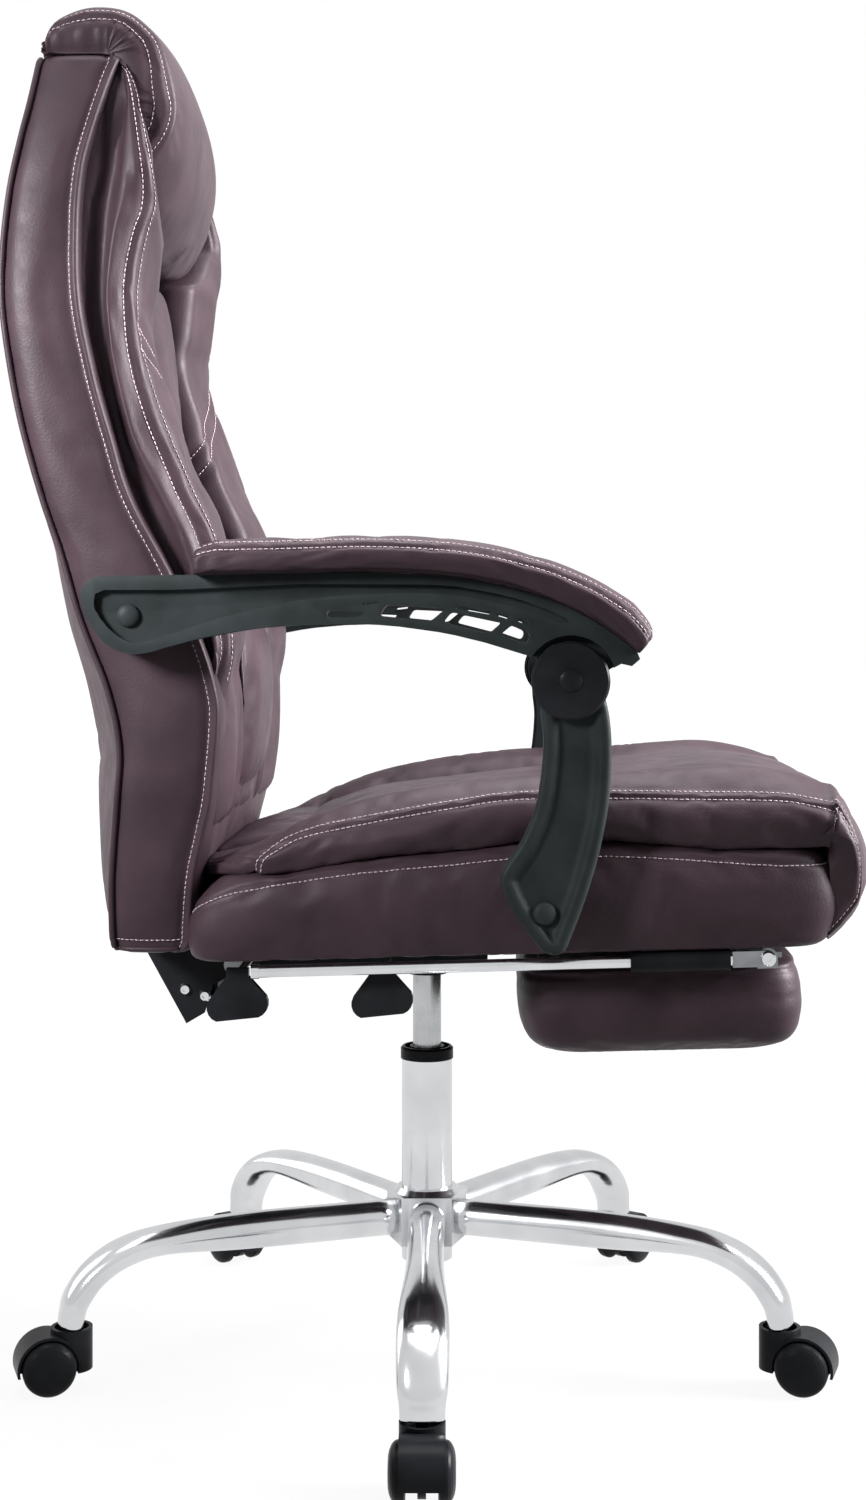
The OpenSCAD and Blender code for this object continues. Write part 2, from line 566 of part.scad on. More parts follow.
// One bolster, standing forward of the middle cushion, narrow at the waist
bolster_levels = [for (z = levels) if (z >= 530 && z <= 1140) z];
function bolster_ring(z) = let (end = z == 530 || z == 1140, w = back_w(z) - 7,
    y0 = max(spine_half_w + 1.2, pillow_edge(z) + 3),
    b = front_x(z) + soft_gap, f = curve_at(bolster_line, z) - (end ? 10 : 0), mid = (w + y0) / 2,
    half = (w - y0) / 2 - (end ? 5 : 0))
    [for (p = [[0, -0.98], [0.35, -1], [0.66, -0.82], [0.88, -0.4], [1, 0.15], [0.96, 0.55],
        [0.78, 0.86], [0.4, 1], [0, 0.97]]) [b + (f - b) * p[0], mid + half * p[1], z]];
module back_bolsters() color(leather) both_sides() skin([for (z = bolster_levels) bolster_ring(z)]);

// Head pillow: upright sections from side to side, folded over the top of the back
pillow_arc = [[-340, 1231], [-336, 1247], [-322, 1261], [-300, 1271], [-278, 1272], [-258, 1265],
    [-243, 1248], [-231, 1222], [-223, 1190], [-224, 1155], [-230, 1120], [-242, 1090], [-262, 1066]];
pillow_z = back_top - 164;
function pillow_low(y) = pillow_z + 86 * pow(min(1, abs(y) / (pillow_half_w - 22)), 2.4);
function pillow_edge(z) = (pillow_half_w - 22) * pow(max(0, (z - pillow_z) / 86), 1 / 2.4);
function pillow_full(y) = pow(max(0, 1 - pow(abs(y) / (pillow_half_w + 2), 5)), 0.5);
function pillow_ring(y) = let (low = pillow_low(y), full = pillow_full(y), top = back_top + soft_gap)
    concat([for (p = pillow_arc) let (z = p[1] > 1200 ? back_top + 4 + (p[1] - 1228) * (pillow_top - 4) / 44
        * full : low + (p[1] - 1064) * (back_top - 28 - low) / 136, x = p[0] > -330 ?
        max(at_levels(back_front_line, min(z, back_top)) + 6, p[0] - 14 * (1 - full)) : p[0])
        [z > back_top + 4 ? (p[0] > -330 ? p[0] - (p[0] > -280 ? 14 * (1 - full) : 0) : p[0] + 4) : x, y, z]],
        [[front_x(low) + soft_gap, y, low]],
        [for (z = [back_top - 48, back_top - 13, back_top]) [front_x(max(z, low + 1)) + soft_gap, y, max(z, low + 1)]],
        [[front_x(back_top) + soft_gap, y, top], [-336, y, top]]);
pillow_stations = [-1, -0.96, -0.86, -0.7, -0.5, -0.25, 0, 0.25, 0.5, 0.7, 0.86, 0.96, 1];
module head_pillow() color(leather) skin([for (s = pillow_stations) pillow_ring(s * pillow_half_w)], true);

// Steel plates that carry the back on the recline shaft, with the bar and the flanges between them
plate_y = 117.5;
plate_t = 5;
module back_hinge_plates() color(black) {
    difference() {
        both_sides() {
            upright(plate_y, plate_t) {
                polygon([[-268, 429], [-214, 429], [-206, 416], [-182, 409], [-178, 390], [-196, 380],
                    [-204, 354], [-221, 344]]);
                translate(recline_axis) circle(r = 10.5);
            }
            translate([-268, 92, levels[0] - soft_gap - sheet_t]) cube([54, 52, sheet_t]);
        }
        turned(recline_axis[0], recline_axis[1], -150) cylinder(r = 6 + run_gap, h = 300, $fn = 64);
        for (p = hinge_bolts) turned(p[0], p[1], -150) cylinder(r = 3 + run_gap, h = 300);
    }
    translate([-232, -plate_y, 362]) difference() {
        cube([40, 2 * plate_y, 22]);
        translate([sheet_t, -1, sheet_t]) cube([34, 2 * plate_y + 2, 16]);
        for (p = hinge_bolts) translate([p[0] + 232, -1, p[1] - 362]) rotate([-90, 0, 0])
            cylinder(r = 3 + run_gap, h = 2 * plate_y + 2);
    }
}
hinge_bolts = [[-222, 376], [-203.5, 370]];
module back_hinge_bolts() color(chrome) both_sides() for (p = hinge_bolts)
    turned(p[0], p[1], plate_y - 14) {
        cylinder(r = 3, h = plate_t + 14.1);
        translate([0, 0, plate_t + 14.1]) difference() {
            cylinder(r1 = 5.8, r2 = 4, h = 3.4);
            translate([0, 0, 1.4]) cylinder(r = 2.4, h = 3, $fn = 6);
        }
    }

// Bolt with a domed cap, its shank through the arm and a spacer against the cushion
module pivot_bolt(axis, from, cap_at) turned(axis[0], axis[1]) rotate_extrude() polygon(concat(
    [[0, from], [bolt_d / 2 + 7, from], [bolt_d / 2 + 7, arm_in - soft_gap], [bolt_d / 2, arm_in - soft_gap],
    [bolt_d / 2, cap_at], [cap_r, cap_at], [cap_r, cap_at + 1.5]],
    [for (a = [20:10:90]) [cap_r * cos(a), cap_at + 1.5 + 4.5 * sin(a)]]));
module arm_bolts() color(moulded) both_sides()
    pivot_bolt(arm_axis, back_w(arm_axis[1]) + soft_gap, arm_out - recess + soft_gap);
module post_bolts() color(moulded) both_sides()
    pivot_bolt(post_axis, seat_half_w + soft_gap, arm_out - recess + soft_gap);

// Outline of the arm frame: pad seat, nose, hinge lug, lower chord and rounded rear end
frame_under = smooth([[165, 678], [150, 689], [133, 699], [118, 700], [104, 690], [90, 693], [60, 702],
    [20, 711], [-30, 717], [-85, 717.5], [-135, 714], [-182, 706], [-215, 697], [-240, 692], [-262, 699],
    [-278, 718], [-286, 741], [-281, 754], [-268, 759]], 3);
module frame_outline() polygon(concat(frame_under, rest_line, [[192, 688], [185, 682], [176, 684]]));
// Recess in the outer face: wide at the rear, running out along the beam
module frame_recess() polygon(smooth([[-274, 740], [-266, 747], [-207, 747], [-99, 752], [12, 751.5],
    [50, 747.5], [92, 738], [130, 722], [124, 719], [88, 731.5], [47, 740.5], [12, 744], [-40, 743.5],
    [-99, 738], [-170, 722], [-220, 705], [-243, 702], [-262, 714], [-274, 731], [-274, 740]], 2));
truss = [[[-76, 729.5], [-42, 728], [-48, 723.5], [-77, 723.5]],
    [[-25, 734], [27, 731.5], [14, 720.5], [-31, 725]],
    [[31, 728], [74, 719], [63, 709.5], [24, 719.5]],
    [[83, 717], [98, 710.5], [98, 705], [95, 701], [73, 708.5]]];
slots = [[[-44, 736], [-31, 737.5], [-31, 735.5], [-44, 734]], [[36, 734], [65, 728.5], [64, 726], [35, 731]],
    [[70, 728], [80, 725], [80, 722], [70, 725]], [[88, 723], [97, 720], [97, 717], [88, 720]]];
module arm_frame(side) color(moulded) mirror([0, side < 0 ? 1 : 0, 0]) difference() {
    union() {
        upright(arm_in, arm_t) frame_outline();
        turned(disc_axis[0], disc_axis[1], arm_in) cylinder(r = lug_r, h = arm_t / 2 - lap_gap / 2);
        upright(arm_in, arm_t / 2 - lap_gap / 2) polygon([[104, 692], [disc_axis[0] - 28, disc_axis[1]],
            [disc_axis[0] + 28, disc_axis[1]], [160, 686], [133, 702]]);
    }
    upright(arm_out - recess, recess + 1) frame_recess();
    for (p = concat(truss, slots)) upright(arm_in - 1, arm_t + 2) polygon(rounded(p, 2.5));
    turned(disc_axis[0], disc_axis[1], arm_mid - lap_gap / 2) cylinder(r = disc_r + link_play, h = arm_t);
    turned(disc_axis[0], disc_axis[1], arm_in - 1) cylinder(r = play_r, h = arm_t + 2, $fn = 64);
    turned(arm_axis[0], arm_axis[1], arm_in - 1) cylinder(r = bolt_d / 2 + run_gap, h = arm_t + 2, $fn = 64);
}
module arm_frame_right() arm_frame(-1);
module arm_frame_left() arm_frame(1);

// Armrest pad: sections square to the arm's top edge, crowned over it
function pad_line(i) = let (p = rest_line, d = unit(p[min(i + 1, len(p) - 1)] - p[max(i - 1, 0)]))
    [p[i], [-d[1], d[0]]];
function rest_ring(i, side) = let (n = len(rest_line) - 1, u = i / n, q = pad_line(i), lift = soft_gap,
    e = min(1, 0.55 + 2.4 * u, 0.45 + 3.2 * (1 - u)), t = pad_t * e, w = pad_w / 2 * (0.82 + 0.18 * e))
    [for (p = [[0.8, 0], [0.97, 0.12], [1, 0.4], [0.95, 0.72], [0.72, 0.93], [0.3, 1], [-0.3, 1],
        [-0.72, 0.93], [-0.95, 0.72], [-1, 0.4], [-0.97, 0.12], [-0.8, 0]]) let (h = lift + t * p[1])
        [q[0][0] + q[1][0] * h, side * (arm_mid + 9) + w * p[0], q[0][1] + q[1][1] * h]];
module arm_pad(side) color(leather) skin([for (i = [0:len(rest_line) - 1]) rest_ring(i, side)]);
module arm_pad_right() arm_pad(-1);
module arm_pad_left() arm_pad(1);

// Post: a curved blade from the seat to the front hinge, recessed inside its rim
post_line = [[159, 652], [166, 634], [168, 612], [166, 568], [158, 525], [150.5, 498], [132, 447],
    [127, 437], [118, 435], [108, 440], [96, 455], [81, 477], [73, 499], [77, 510], [93, 535],
    [105, 568], [110, 613], [108, 640], [110, 652]];
post_outer = smooth(post_line, 3);
// The recess runs from behind the cover disc down round the bolt
post_inner = smooth(concat([disc_axis + [23, -22]],
    [for (p = drawn_in(post_line, rim)) if (p[1] < disc_axis[1] - disc_r + 6) p],
    [disc_axis + [-17, -22]]), 3);
module post_outline() polygon(post_outer);
post_t = arm_t - 2;
module post(side) color(moulded) mirror([0, side < 0 ? 1 : 0, 0]) difference() {
    union() {
        difference() {
            upright(arm_in, post_t) post_outline();
            turned(disc_axis[0], disc_axis[1], arm_in - 1)
                cylinder(r = lug_r + link_play + 1, h = arm_t / 2 + lap_gap / 2 + 1);
        }
        turned(disc_axis[0], disc_axis[1], arm_mid + lap_gap / 2)
            cylinder(r = disc_r - 1.5, h = post_t - arm_t / 2 - lap_gap / 2);
    }
    upright(arm_out - recess, recess + 1) polygon(post_inner);
    turned(disc_axis[0], disc_axis[1], arm_in) cylinder(r = pin_d / 2 + run_gap, h = arm_t + 1, $fn = 64);
    turned(post_axis[0], post_axis[1], arm_in - 1) cylinder(r = bolt_d / 2 + run_gap, h = arm_t + 2, $fn = 64);
}
module post_right() post(-1);
module post_left() post(1);

// Cover disc with its cap, the pin behind it and the washer on the pin's inner end
module post_pin(side) color(black) mirror([0, side < 0 ? 1 : 0, 0]) turned(disc_axis[0], disc_axis[1])
    rotate_extrude($fn = 64) polygon(concat(
        [[0, arm_in - 4.4], [play_r + 4, arm_in - 4.4], [play_r + 4, arm_in - lap_gap],
        [pin_d / 2, arm_in - lap_gap], [pin_d / 2, arm_in + post_t + 0.1], [disc_r, arm_in + post_t + 0.1],
        [disc_r, arm_in + post_t + 3.5], [disc_r - 2, arm_in + post_t + 5.5], [cap_r, arm_in + post_t + 5]],
        [for (a = [20:14:90]) [cap_r * cos(a), arm_in + post_t + 5 + 3 * sin(a)]],
        [[0, arm_in + post_t + 8]]));
module post_pin_right() post_pin(-1);
module post_pin_left() post_pin(1);

// Everything on the rails is drawn along the seat's tilt, from the footrest's pivot
module rail_line() translate([rest_axis[0], 0, rest_axis[1]]) rotate([0, -seat_tilt, 0]) children();
module rod_along(x, len, y, d, n = 48) translate([x - rest_axis[0], y, 0]) rotate([0, 90, 0])
    cylinder(d = d, h = len, $fn = n);

// Guide sleeves, each hung under the seat board on a saddle
module footrest_guides() color(black) rail_line() both_sides() difference() {
    union() {
        rod_along(sleeve_x, sleeve_len, rail_y, sleeve_d);
        translate([sleeve_x + 10 - rest_axis[0], board_half_w - 34, sleeve_d / 2 - 3.4])
            cube([sleeve_len - 20, 33.6, 3.8 + board_lift - soft_gap]);
    }
    rod_along(sleeve_x - 1, sleeve_len + 2, rail_y, rail_d + 2 * run_gap, 64);
}
rail_front = sleeve_x + sleeve_len + 2;
module footrest_rails() color(chrome) rail_line() both_sides() {
    rod_along(rail_rear, rail_front - rail_rear, rail_y, rail_d);
    rod_along(rail_rear - 0.5, 7, rail_y, rail_d + 2);
}
module footrest_brackets() color(steel) rail_line() both_sides() difference() {
    translate([0, bracket_y - bracket_t / 2, 0]) rotate([-90, 0, 0]) linear_extrude(bracket_t) {
        circle(d = bracket_h);
        translate([rail_front - rest_axis[0] + 0.1, -bracket_h / 2])
            square([rest_axis[0] - rail_front, bracket_h]);
    }
    translate([0, bracket_y - bracket_t, 0]) rotate([-90, 0, 0])
        cylinder(r = screw_r + run_gap, h = 2 * bracket_t);
}
module footrest_screws() color(chrome) rail_line() both_sides() {
    translate([0, bracket_y + bracket_t / 2 + 0.1, 0]) rotate([-90, 0, 0]) difference() {
        cylinder(r1 = 7, r2 = 5.5, h = 2.4);
        translate([0, 0, 1]) cylinder(r = 2.5, h = 3, $fn = 6);
    }
    translate([0, lug_y - 2, 0]) rotate([-90, 0, 0])
        cylinder(r = screw_r, h = bracket_y + bracket_t / 2 - lug_y + 2.1);
}
// Board of the footrest with the two lugs that hang it on the brackets
module footrest_board() color(steel) rail_line() difference() {
    union() {
        translate([-200, -rest_board_half, -9]) cube([220, 2 * rest_board_half, 5]);
        both_sides() {
            translate([-9, rest_board_half - 2, -9]) cube([18, lug_y + lug_t - rest_board_half + 2, 4]);
            translate([0, lug_y, 0]) rotate([-90, 0, 0]) linear_extrude(lug_t) {
                circle(r = 9);
                translate([-9, 0]) square([18, 9]);
            }
        }
    }
    translate([0, -rail_y, 0]) rotate([-90, 0, 0]) cylinder(r = screw_r + run_gap, h = 2 * rail_y);
}
function rest_plan(inset, z, n = 28) = [for (k = [0:n - 1]) let (a = 360 * k / n)
    [rest_len / 2 - 218 + (rest_len / 2 - inset) * sgn_pow(cos(a), 0.3),
    (rest_half_w - inset) * sgn_pow(sin(a), 0.3), z]];
rest_lift = -9 - soft_gap;
module footrest_pad() color(leather) rail_line() skin([
    rest_plan(22, rest_lift - rest_t + 8), rest_plan(10, rest_lift - rest_t + 12),
    rest_plan(3, rest_lift - rest_t + 24), rest_plan(0, rest_lift - rest_t / 2),
    rest_plan(1, rest_lift - 22), rest_plan(5, rest_lift - 5), rest_plan(14, rest_lift)]);

// Levers: a rod that swings on a ball in the channel's wall, and a paddle hung on its outer end
module lever_rod(x, inner) color(steel) translate([x, 0, lever_z(x)]) {
    translate([0, paddle_y + 2, 0]) rotate([-90, 0, 0]) cylinder(d = lever_d, h = inner - paddle_y - 2);
    translate([0, sheet_t / 2 - wall_y, 0]) sphere(r = lever_ball_r);
}
module lever_paddle(x) color(black) translate([x, paddle_y + paddle_t / 2, lever_z(x)])
    difference() {
        rotate([90, 0, 0]) linear_extrude(paddle_t) polygon(concat([[-10, 6], [-10, -1]],
            [for (a = [150:20:250]) [-paddle_w / 2 + 13 + 13 * cos(a), 19 - paddle_h + 13 * sin(a)]],
            [for (a = [-70:20:30]) [paddle_w / 2 - 13 + 13 * cos(a), 23 - paddle_h + 13 * sin(a)]],
            [[10, -1], [10, 6]]));
        translate([0, -paddle_t / 2 + 1.9, 0]) rotate([-90, 0, 0]) cylinder(d = lever_d + 2 * run_gap, h = paddle_t);
    }
module height_lever_rod() {
    lever_rod(height_lever_x, 20);
    color(steel) translate([height_lever_x, -4, tongue_z])
        cube([-height_lever_x + 5, 8, 3]);
}
module height_lever_paddle() lever_paddle(height_lever_x);
module recline_lever_rod() lever_rod(recline_lever_x, 20);
module recline_lever_paddle() lever_paddle(recline_lever_x);

// A caster stands on the floor with its stem on the z axis and its axle behind at +x
module caster_axis(side) translate([trail, side * wheel_gap / 2, wheel_r]) rotate([-90 * side, 0, 0]) children();
module hood() {
    difference() {
        union() {
            difference() {
                union() {
                    translate([0, 0, hood_end_z]) cylinder(d = boss_d, h = hood_top - hood_end_z);
                    translate([trail, -hood_w / 2, wheel_r]) rotate([-90, 0, 0])
                        cylinder(r = fender_r, h = hood_w, $fn = 96);
                }
                for (s = [-1, 1]) caster_axis(s) translate([0, 0, -0.6])
                    cylinder(r = wheel_r + wheel_run, h = 30, $fn = 96);
                translate([trail, -wheel_gap, wheel_r]) rotate([-90, 0, 0])
                    cylinder(r = wheel_r - 6, h = 2 * wheel_gap, $fn = 96);
                translate([-60, -60, -10]) cube([140, 120, hood_end_z + 10]);
                translate([trail, web_t / 2, -1]) cube([60, wheel_gap / 2 - web_t / 2 + 0.6, 60]);
                translate([trail, -wheel_gap / 2 - 0.6, -1]) cube([60, wheel_gap / 2 - web_t / 2 + 0.6, 60]);
            }
            intersection() {
                translate([trail, -hood_w / 2, wheel_r]) rotate([-90, 0, 0])
                    cylinder(r = fender_r, h = hood_w, $fn = 96);
                difference() {
                    translate([trail, -hood_w / 2, hood_end_z]) cube([60, hood_w, 60]);
                    translate([trail, -hood_w, wheel_r]) rotate([-90, 0, 0])
                        cylinder(r = wheel_r + wheel_run, h = 2 * hood_w, $fn = 96);
                }
            }
            translate([trail, -web_t / 2, wheel_r]) rotate([-90, 0, 0]) cylinder(r = wheel_r - 4, h = web_t);
            translate([trail, -wheel_gap / 2 + 0.6, wheel_r]) rotate([-90, 0, 0])
                cylinder(r = axle_d / 2 + 4, h = wheel_gap - 1.2);
        }
        translate([0, 0, hood_top - 6]) cylinder(d = boss_d - 7, h = 7);
        translate([0, 0, hood_top - 30]) cylinder(d = stem_d + 2 * run_gap, h = 40, $fn = 64);
        translate([trail, -hood_w, wheel_r]) rotate([-90, 0, 0])
            cylinder(d = axle_d + 2 * run_gap, h = 2 * hood_w, $fn = 48);
    }
}
// The hood with its pressed-in steel: the stem and the axle
module caster_hood(i) color(black) rotate(star_angles[i]) translate([star_r, 0, 0]) {
    hood();
    translate([0, 0, hood_top - 30 + run_gap]) cylinder(d = stem_d, h = 30 + stem_len + 2 - run_gap, $fn = 64);
    translate([trail, -caster_w / 2 + 4, wheel_r]) rotate([-90, 0, 0])
        cylinder(d = axle_d, h = caster_w - 8, $fn = 48);
}
// Wheel: a flat inner face, a tread and a domed cover, with the axle's blind bore
module caster_wheel(i, side) color(black) rotate(star_angles[i]) translate([star_r, 0, 0])
    caster_axis(side) rotate_extrude($fn = 96) polygon(concat(
        [[axle_d / 2 + run_gap, 0], [wheel_r - 2, 0], [wheel_r, 1.5], [wheel_r, wheel_w * 0.42]],
        [for (a = [15:15:75]) [wheel_r * (0.36 + 0.64 * cos(a)), wheel_w * (0.42 + 0.58 * sin(a))]],
        [[wheel_r * 0.34, wheel_w], [0, wheel_w], [0, wheel_w - 3.5], [axle_d / 2 + run_gap, wheel_w - 3.5]]));
module caster_hood_1() caster_hood(0);
module caster_wheel_1a() caster_wheel(0, 1);
module caster_wheel_1b() caster_wheel(0, -1);
module caster_hood_2() caster_hood(1);
module caster_wheel_2a() caster_wheel(1, 1);
module caster_wheel_2b() caster_wheel(1, -1);
module caster_hood_3() caster_hood(2);
module caster_wheel_3a() caster_wheel(2, 1);
module caster_wheel_3b() caster_wheel(2, -1);
module caster_hood_4() caster_hood(3);
module caster_wheel_4a() caster_wheel(3, 1);
module caster_wheel_4b() caster_wheel(3, -1);
module caster_hood_5() caster_hood(4);
module caster_wheel_5a() caster_wheel(4, 1);
module caster_wheel_5b() caster_wheel(4, -1);

star_hub();
star_arms();
caster_sleeves();
gas_outer_tube();
gas_guide_bush();
gas_thrust_bearing();
gas_rod();
gas_cylinder();
gas_valve_pin();
mechanism_frame();
mechanism_bolts();
recline_shaft();
seat_board();
seat_base_cushion();
seat_top_cushion();
post_bolts();
footrest_guides();
height_lever_rod();
height_lever_paddle();
recline_lever_rod();
recline_lever_paddle();
footrest_rails();
footrest_brackets();
footrest_screws();
footrest_board();
footrest_pad();
back_hinge_plates();
back_hinge_bolts();
back_board();
back_side_cushion();
back_rear_panel();
back_middle_cushion();
back_bolsters();
head_pillow();
arm_bolts();
arm_frame_right();
arm_pad_right();
post_right();
post_pin_right();
arm_frame_left();
arm_pad_left();
post_left();
post_pin_left();
caster_hood_1();
caster_wheel_1a();
caster_wheel_1b();
caster_hood_2();
caster_wheel_2a();
caster_wheel_2b();
caster_hood_3();
caster_wheel_3a();
caster_wheel_3b();
caster_hood_4();
caster_wheel_4a();
caster_wheel_4b();
caster_hood_5();
caster_wheel_5a();
caster_wheel_5b();
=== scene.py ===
# Padded office chair: the looks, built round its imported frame.
# Shapes are worked out in millimetres and turned to metres where a mesh is made.
import json
import math
import time

import bmesh
import bpy
import numpy as np
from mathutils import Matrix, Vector

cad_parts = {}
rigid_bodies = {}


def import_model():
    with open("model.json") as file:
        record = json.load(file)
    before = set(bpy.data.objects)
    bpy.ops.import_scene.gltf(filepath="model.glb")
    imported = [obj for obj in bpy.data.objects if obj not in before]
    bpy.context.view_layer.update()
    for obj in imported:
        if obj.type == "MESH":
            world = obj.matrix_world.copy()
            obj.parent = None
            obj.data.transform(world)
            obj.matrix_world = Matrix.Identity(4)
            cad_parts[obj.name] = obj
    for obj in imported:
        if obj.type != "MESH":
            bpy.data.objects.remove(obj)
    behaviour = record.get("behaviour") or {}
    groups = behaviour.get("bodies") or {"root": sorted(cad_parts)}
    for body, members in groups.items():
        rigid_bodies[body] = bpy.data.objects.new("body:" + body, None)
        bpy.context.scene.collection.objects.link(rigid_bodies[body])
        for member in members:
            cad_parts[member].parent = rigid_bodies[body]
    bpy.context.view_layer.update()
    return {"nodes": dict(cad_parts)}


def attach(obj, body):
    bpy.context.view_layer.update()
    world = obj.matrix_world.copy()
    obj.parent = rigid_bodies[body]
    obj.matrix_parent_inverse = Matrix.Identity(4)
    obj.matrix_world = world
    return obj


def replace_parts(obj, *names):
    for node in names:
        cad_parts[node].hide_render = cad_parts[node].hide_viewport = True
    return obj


startTime = time.time()
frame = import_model()
nodes = frame["nodes"]
scene = bpy.context.scene


def say(stage):
    # a line for each finished stage, with the seconds since the start
    print(f"{time.time() - startTime:6.1f} s  {stage}")


say("frame loaded")

# Materials


def toLinear(hexColour):
    # sRGB hex to linear light: a straight foot, then a power of 2.4
    rgb = np.array([int(hexColour[i:i + 2], 16) for i in (1, 3, 5)]) / 255
    lin = np.where(rgb <= 0.04045, rgb / 12.92, ((rgb + 0.055) / 1.055) ** 2.4)
    return (*[float(c) for c in lin], 1.0)


def addNode(tree, kind, inputs=(), **settings):
    # a node with its settings, its values and the sockets that feed it
    node = tree.nodes.new(kind)
    for key, value in settings.items():
        setattr(node, key, value)
    for key, value in dict(inputs).items():
        if isinstance(value, bpy.types.NodeSocket):
            tree.links.new(value, node.inputs[key])
        else:
            node.inputs[key].default_value = value
    return node


def startMaterial(name):
    # an empty material, its tree, and the piece's own coordinates in it
    mat = bpy.data.materials.new(name)
    mat.use_nodes = True
    mat.node_tree.nodes.clear()
    return mat, mat.node_tree, addNode(mat.node_tree, "ShaderNodeTexCoord").outputs["Object"]


def finishMaterial(mat, inputs):
    # the material's one surface, with these values and sockets
    surface = addNode(mat.node_tree, "ShaderNodeBsdfPrincipled", inputs)
    addNode(mat.node_tree, "ShaderNodeOutputMaterial", {"Surface": surface.outputs[0]})
    return mat


def noiseAt(tree, coords, sizeMm, detail=2.0, rough=0.5, **settings):
    # noise whose blobs are about sizeMm across
    return addNode(tree, "ShaderNodeTexNoise", {"Vector": coords, "Scale": 1000 / sizeMm, "Detail": detail,
                                                "Roughness": rough}, **settings).outputs["Fac"]


def tintBetween(tree, amount, darkHex, lightHex, low=0.3, high=0.7):
    # the dark colour up to low, the light one from high, and a straight mix between
    ramp = addNode(tree, "ShaderNodeValToRGB", {"Fac": amount})
    ramp.color_ramp.elements[0].position = low
    ramp.color_ramp.elements[1].position = high
    ramp.color_ramp.elements[0].color = toLinear(darkHex)
    ramp.color_ramp.elements[1].color = toLinear(lightHex)
    return ramp.outputs["Color"]


def spread(tree, amount, low, high):
    # the middle half of the amount stretched to run from low to high
    return addNode(tree, "ShaderNodeMapRange", {"Value": amount, "From Min": 0.25, "From Max": 0.75,
                                                "To Min": low, "To Max": high}).outputs["Result"]


def raised(tree, height, depthMm, strength=1.0, under=None):
    # a bump of the given height in millimetres, laid over the one under it
    inputs = {"Height": height, "Distance": depthMm / 1000, "Strength": strength}
    if under is not None:
        inputs["Normal"] = under
    return addNode(tree, "ShaderNodeBump", inputs).outputs["Normal"]


leatherLook = {
    "dark": "#2a1f25", "light": "#36292f", "cloudMm": 55, "shine": 0.2, "shineTint": "#f2ebef",
    "grainMm": 2.1, "grainDepth": 0.22, "creaseMm": 46, "creaseDepth": 0.9,
    "roughMm": 18, "roughLow": 0.42, "roughHigh": 0.54}


def bondedLeather(name, look, creaseShare=1.0):
    # bonded PU leather, embossed and rolled: a pebbled grain with a satin sheen.
    # The real grain is near 1 mm; it is drawn at about 2 mm so that it shows.
    mat, tree, coords = startMaterial(name)
    cloud = noiseAt(tree, coords, look["cloudMm"], 3)
    cells = addNode(tree, "ShaderNodeTexVoronoi", {"Vector": coords, "Scale": 1000 / look["grainMm"]},
                    feature="SMOOTH_F1").outputs["Distance"]
    pull = noiseAt(tree, coords, look["creaseMm"], 4, 0.55, noise_type="RIDGED_MULTIFRACTAL")
    patches = noiseAt(tree, coords, look["roughMm"], 2)
    creases = raised(tree, pull, look["creaseDepth"] * creaseShare, 0.35)
    return finishMaterial(mat, {
        "IOR": 1.48, "Specular IOR Level": look["shine"], "Specular Tint": toLinear(look["shineTint"]),
        "Base Color": tintBetween(tree, cloud, look["dark"], look["light"]),
        "Roughness": spread(tree, patches, look["roughLow"], look["roughHigh"]),
        "Normal": raised(tree, cells, look["grainDepth"], 0.55, creases)})


def spunThread(name):
    # bonded polyester sewing thread, two plies twisted: matt with a faint pink cast
    mat, tree, coords = startMaterial(name)
    twist = tintBetween(tree, noiseAt(tree, coords, 1.3, 1), "#9c888f", "#c3b1b7")
    return finishMaterial(mat, {"Roughness": 0.62, "Base Color": twist})


def chromePlate(name):
    # polished steel under bright chrome: a near mirror with faint handling haze
    mat, tree, coords = startMaterial(name)
    haze = noiseAt(tree, coords, 60, 3)
    return finishMaterial(mat, {"Metallic": 1.0, "Base Color": tintBetween(tree, haze, "#d3d5d8", "#e6e7e9"),
                                "Roughness": spread(tree, haze, 0.13, 0.21)})


def drawnSteel(name, dark, light, roughLow, roughHigh):
    # cold-drawn or zinc-plated steel: fine lines along it that soften the highlight.
    # Real ones are under 1 mm apart; they are drawn at about 2 mm so that they show.
    mat, tree, coords = startMaterial(name)
    lines = addNode(tree, "ShaderNodeMapping", {"Vector": coords, "Scale": (1.0, 1.0, 0.06)}).outputs["Vector"]
    grain = noiseAt(tree, lines, 1.8, 2)
    return finishMaterial(mat, {
        "Metallic": 1.0, "Base Color": tintBetween(tree, noiseAt(tree, coords, 22, 3), dark, light),
        "Roughness": spread(tree, grain, roughLow, roughHigh), "Normal": raised(tree, grain, 0.03, 0.3)})


def mouldedNylon(name, dark, light, textureMm, roughLow, roughHigh, depth=0.05):
    # glass-filled nylon out of a spark-eroded mould: a fine even pebble that dulls the sheen.
    # The real pebble is under 1 mm; it is drawn coarser so that it shows.
    mat, tree, coords = startMaterial(name)
    pebble = noiseAt(tree, coords, textureMm, 2, 0.6)
    return finishMaterial(mat, {
        "IOR": 1.53, "Specular IOR Level": 0.06,
        "Base Color": tintBetween(tree, noiseAt(tree, coords, 35, 3), dark, light),
        "Roughness": spread(tree, pebble, roughLow, roughHigh), "Normal": raised(tree, pebble, depth, 0.5)})


def birchPly(name):
    # birch plywood: pale bands that run with the grain
    mat, tree, coords = startMaterial(name)
    along = addNode(tree, "ShaderNodeMapping", {"Vector": coords, "Scale": (0.12, 1.0, 1.0)}).outputs["Vector"]
    bands = tintBetween(tree, noiseAt(tree, along, 9, 4), "#b08a5c", "#cfae7e")
    return finishMaterial(mat, {"Roughness": 0.6, "Base Color": bands})


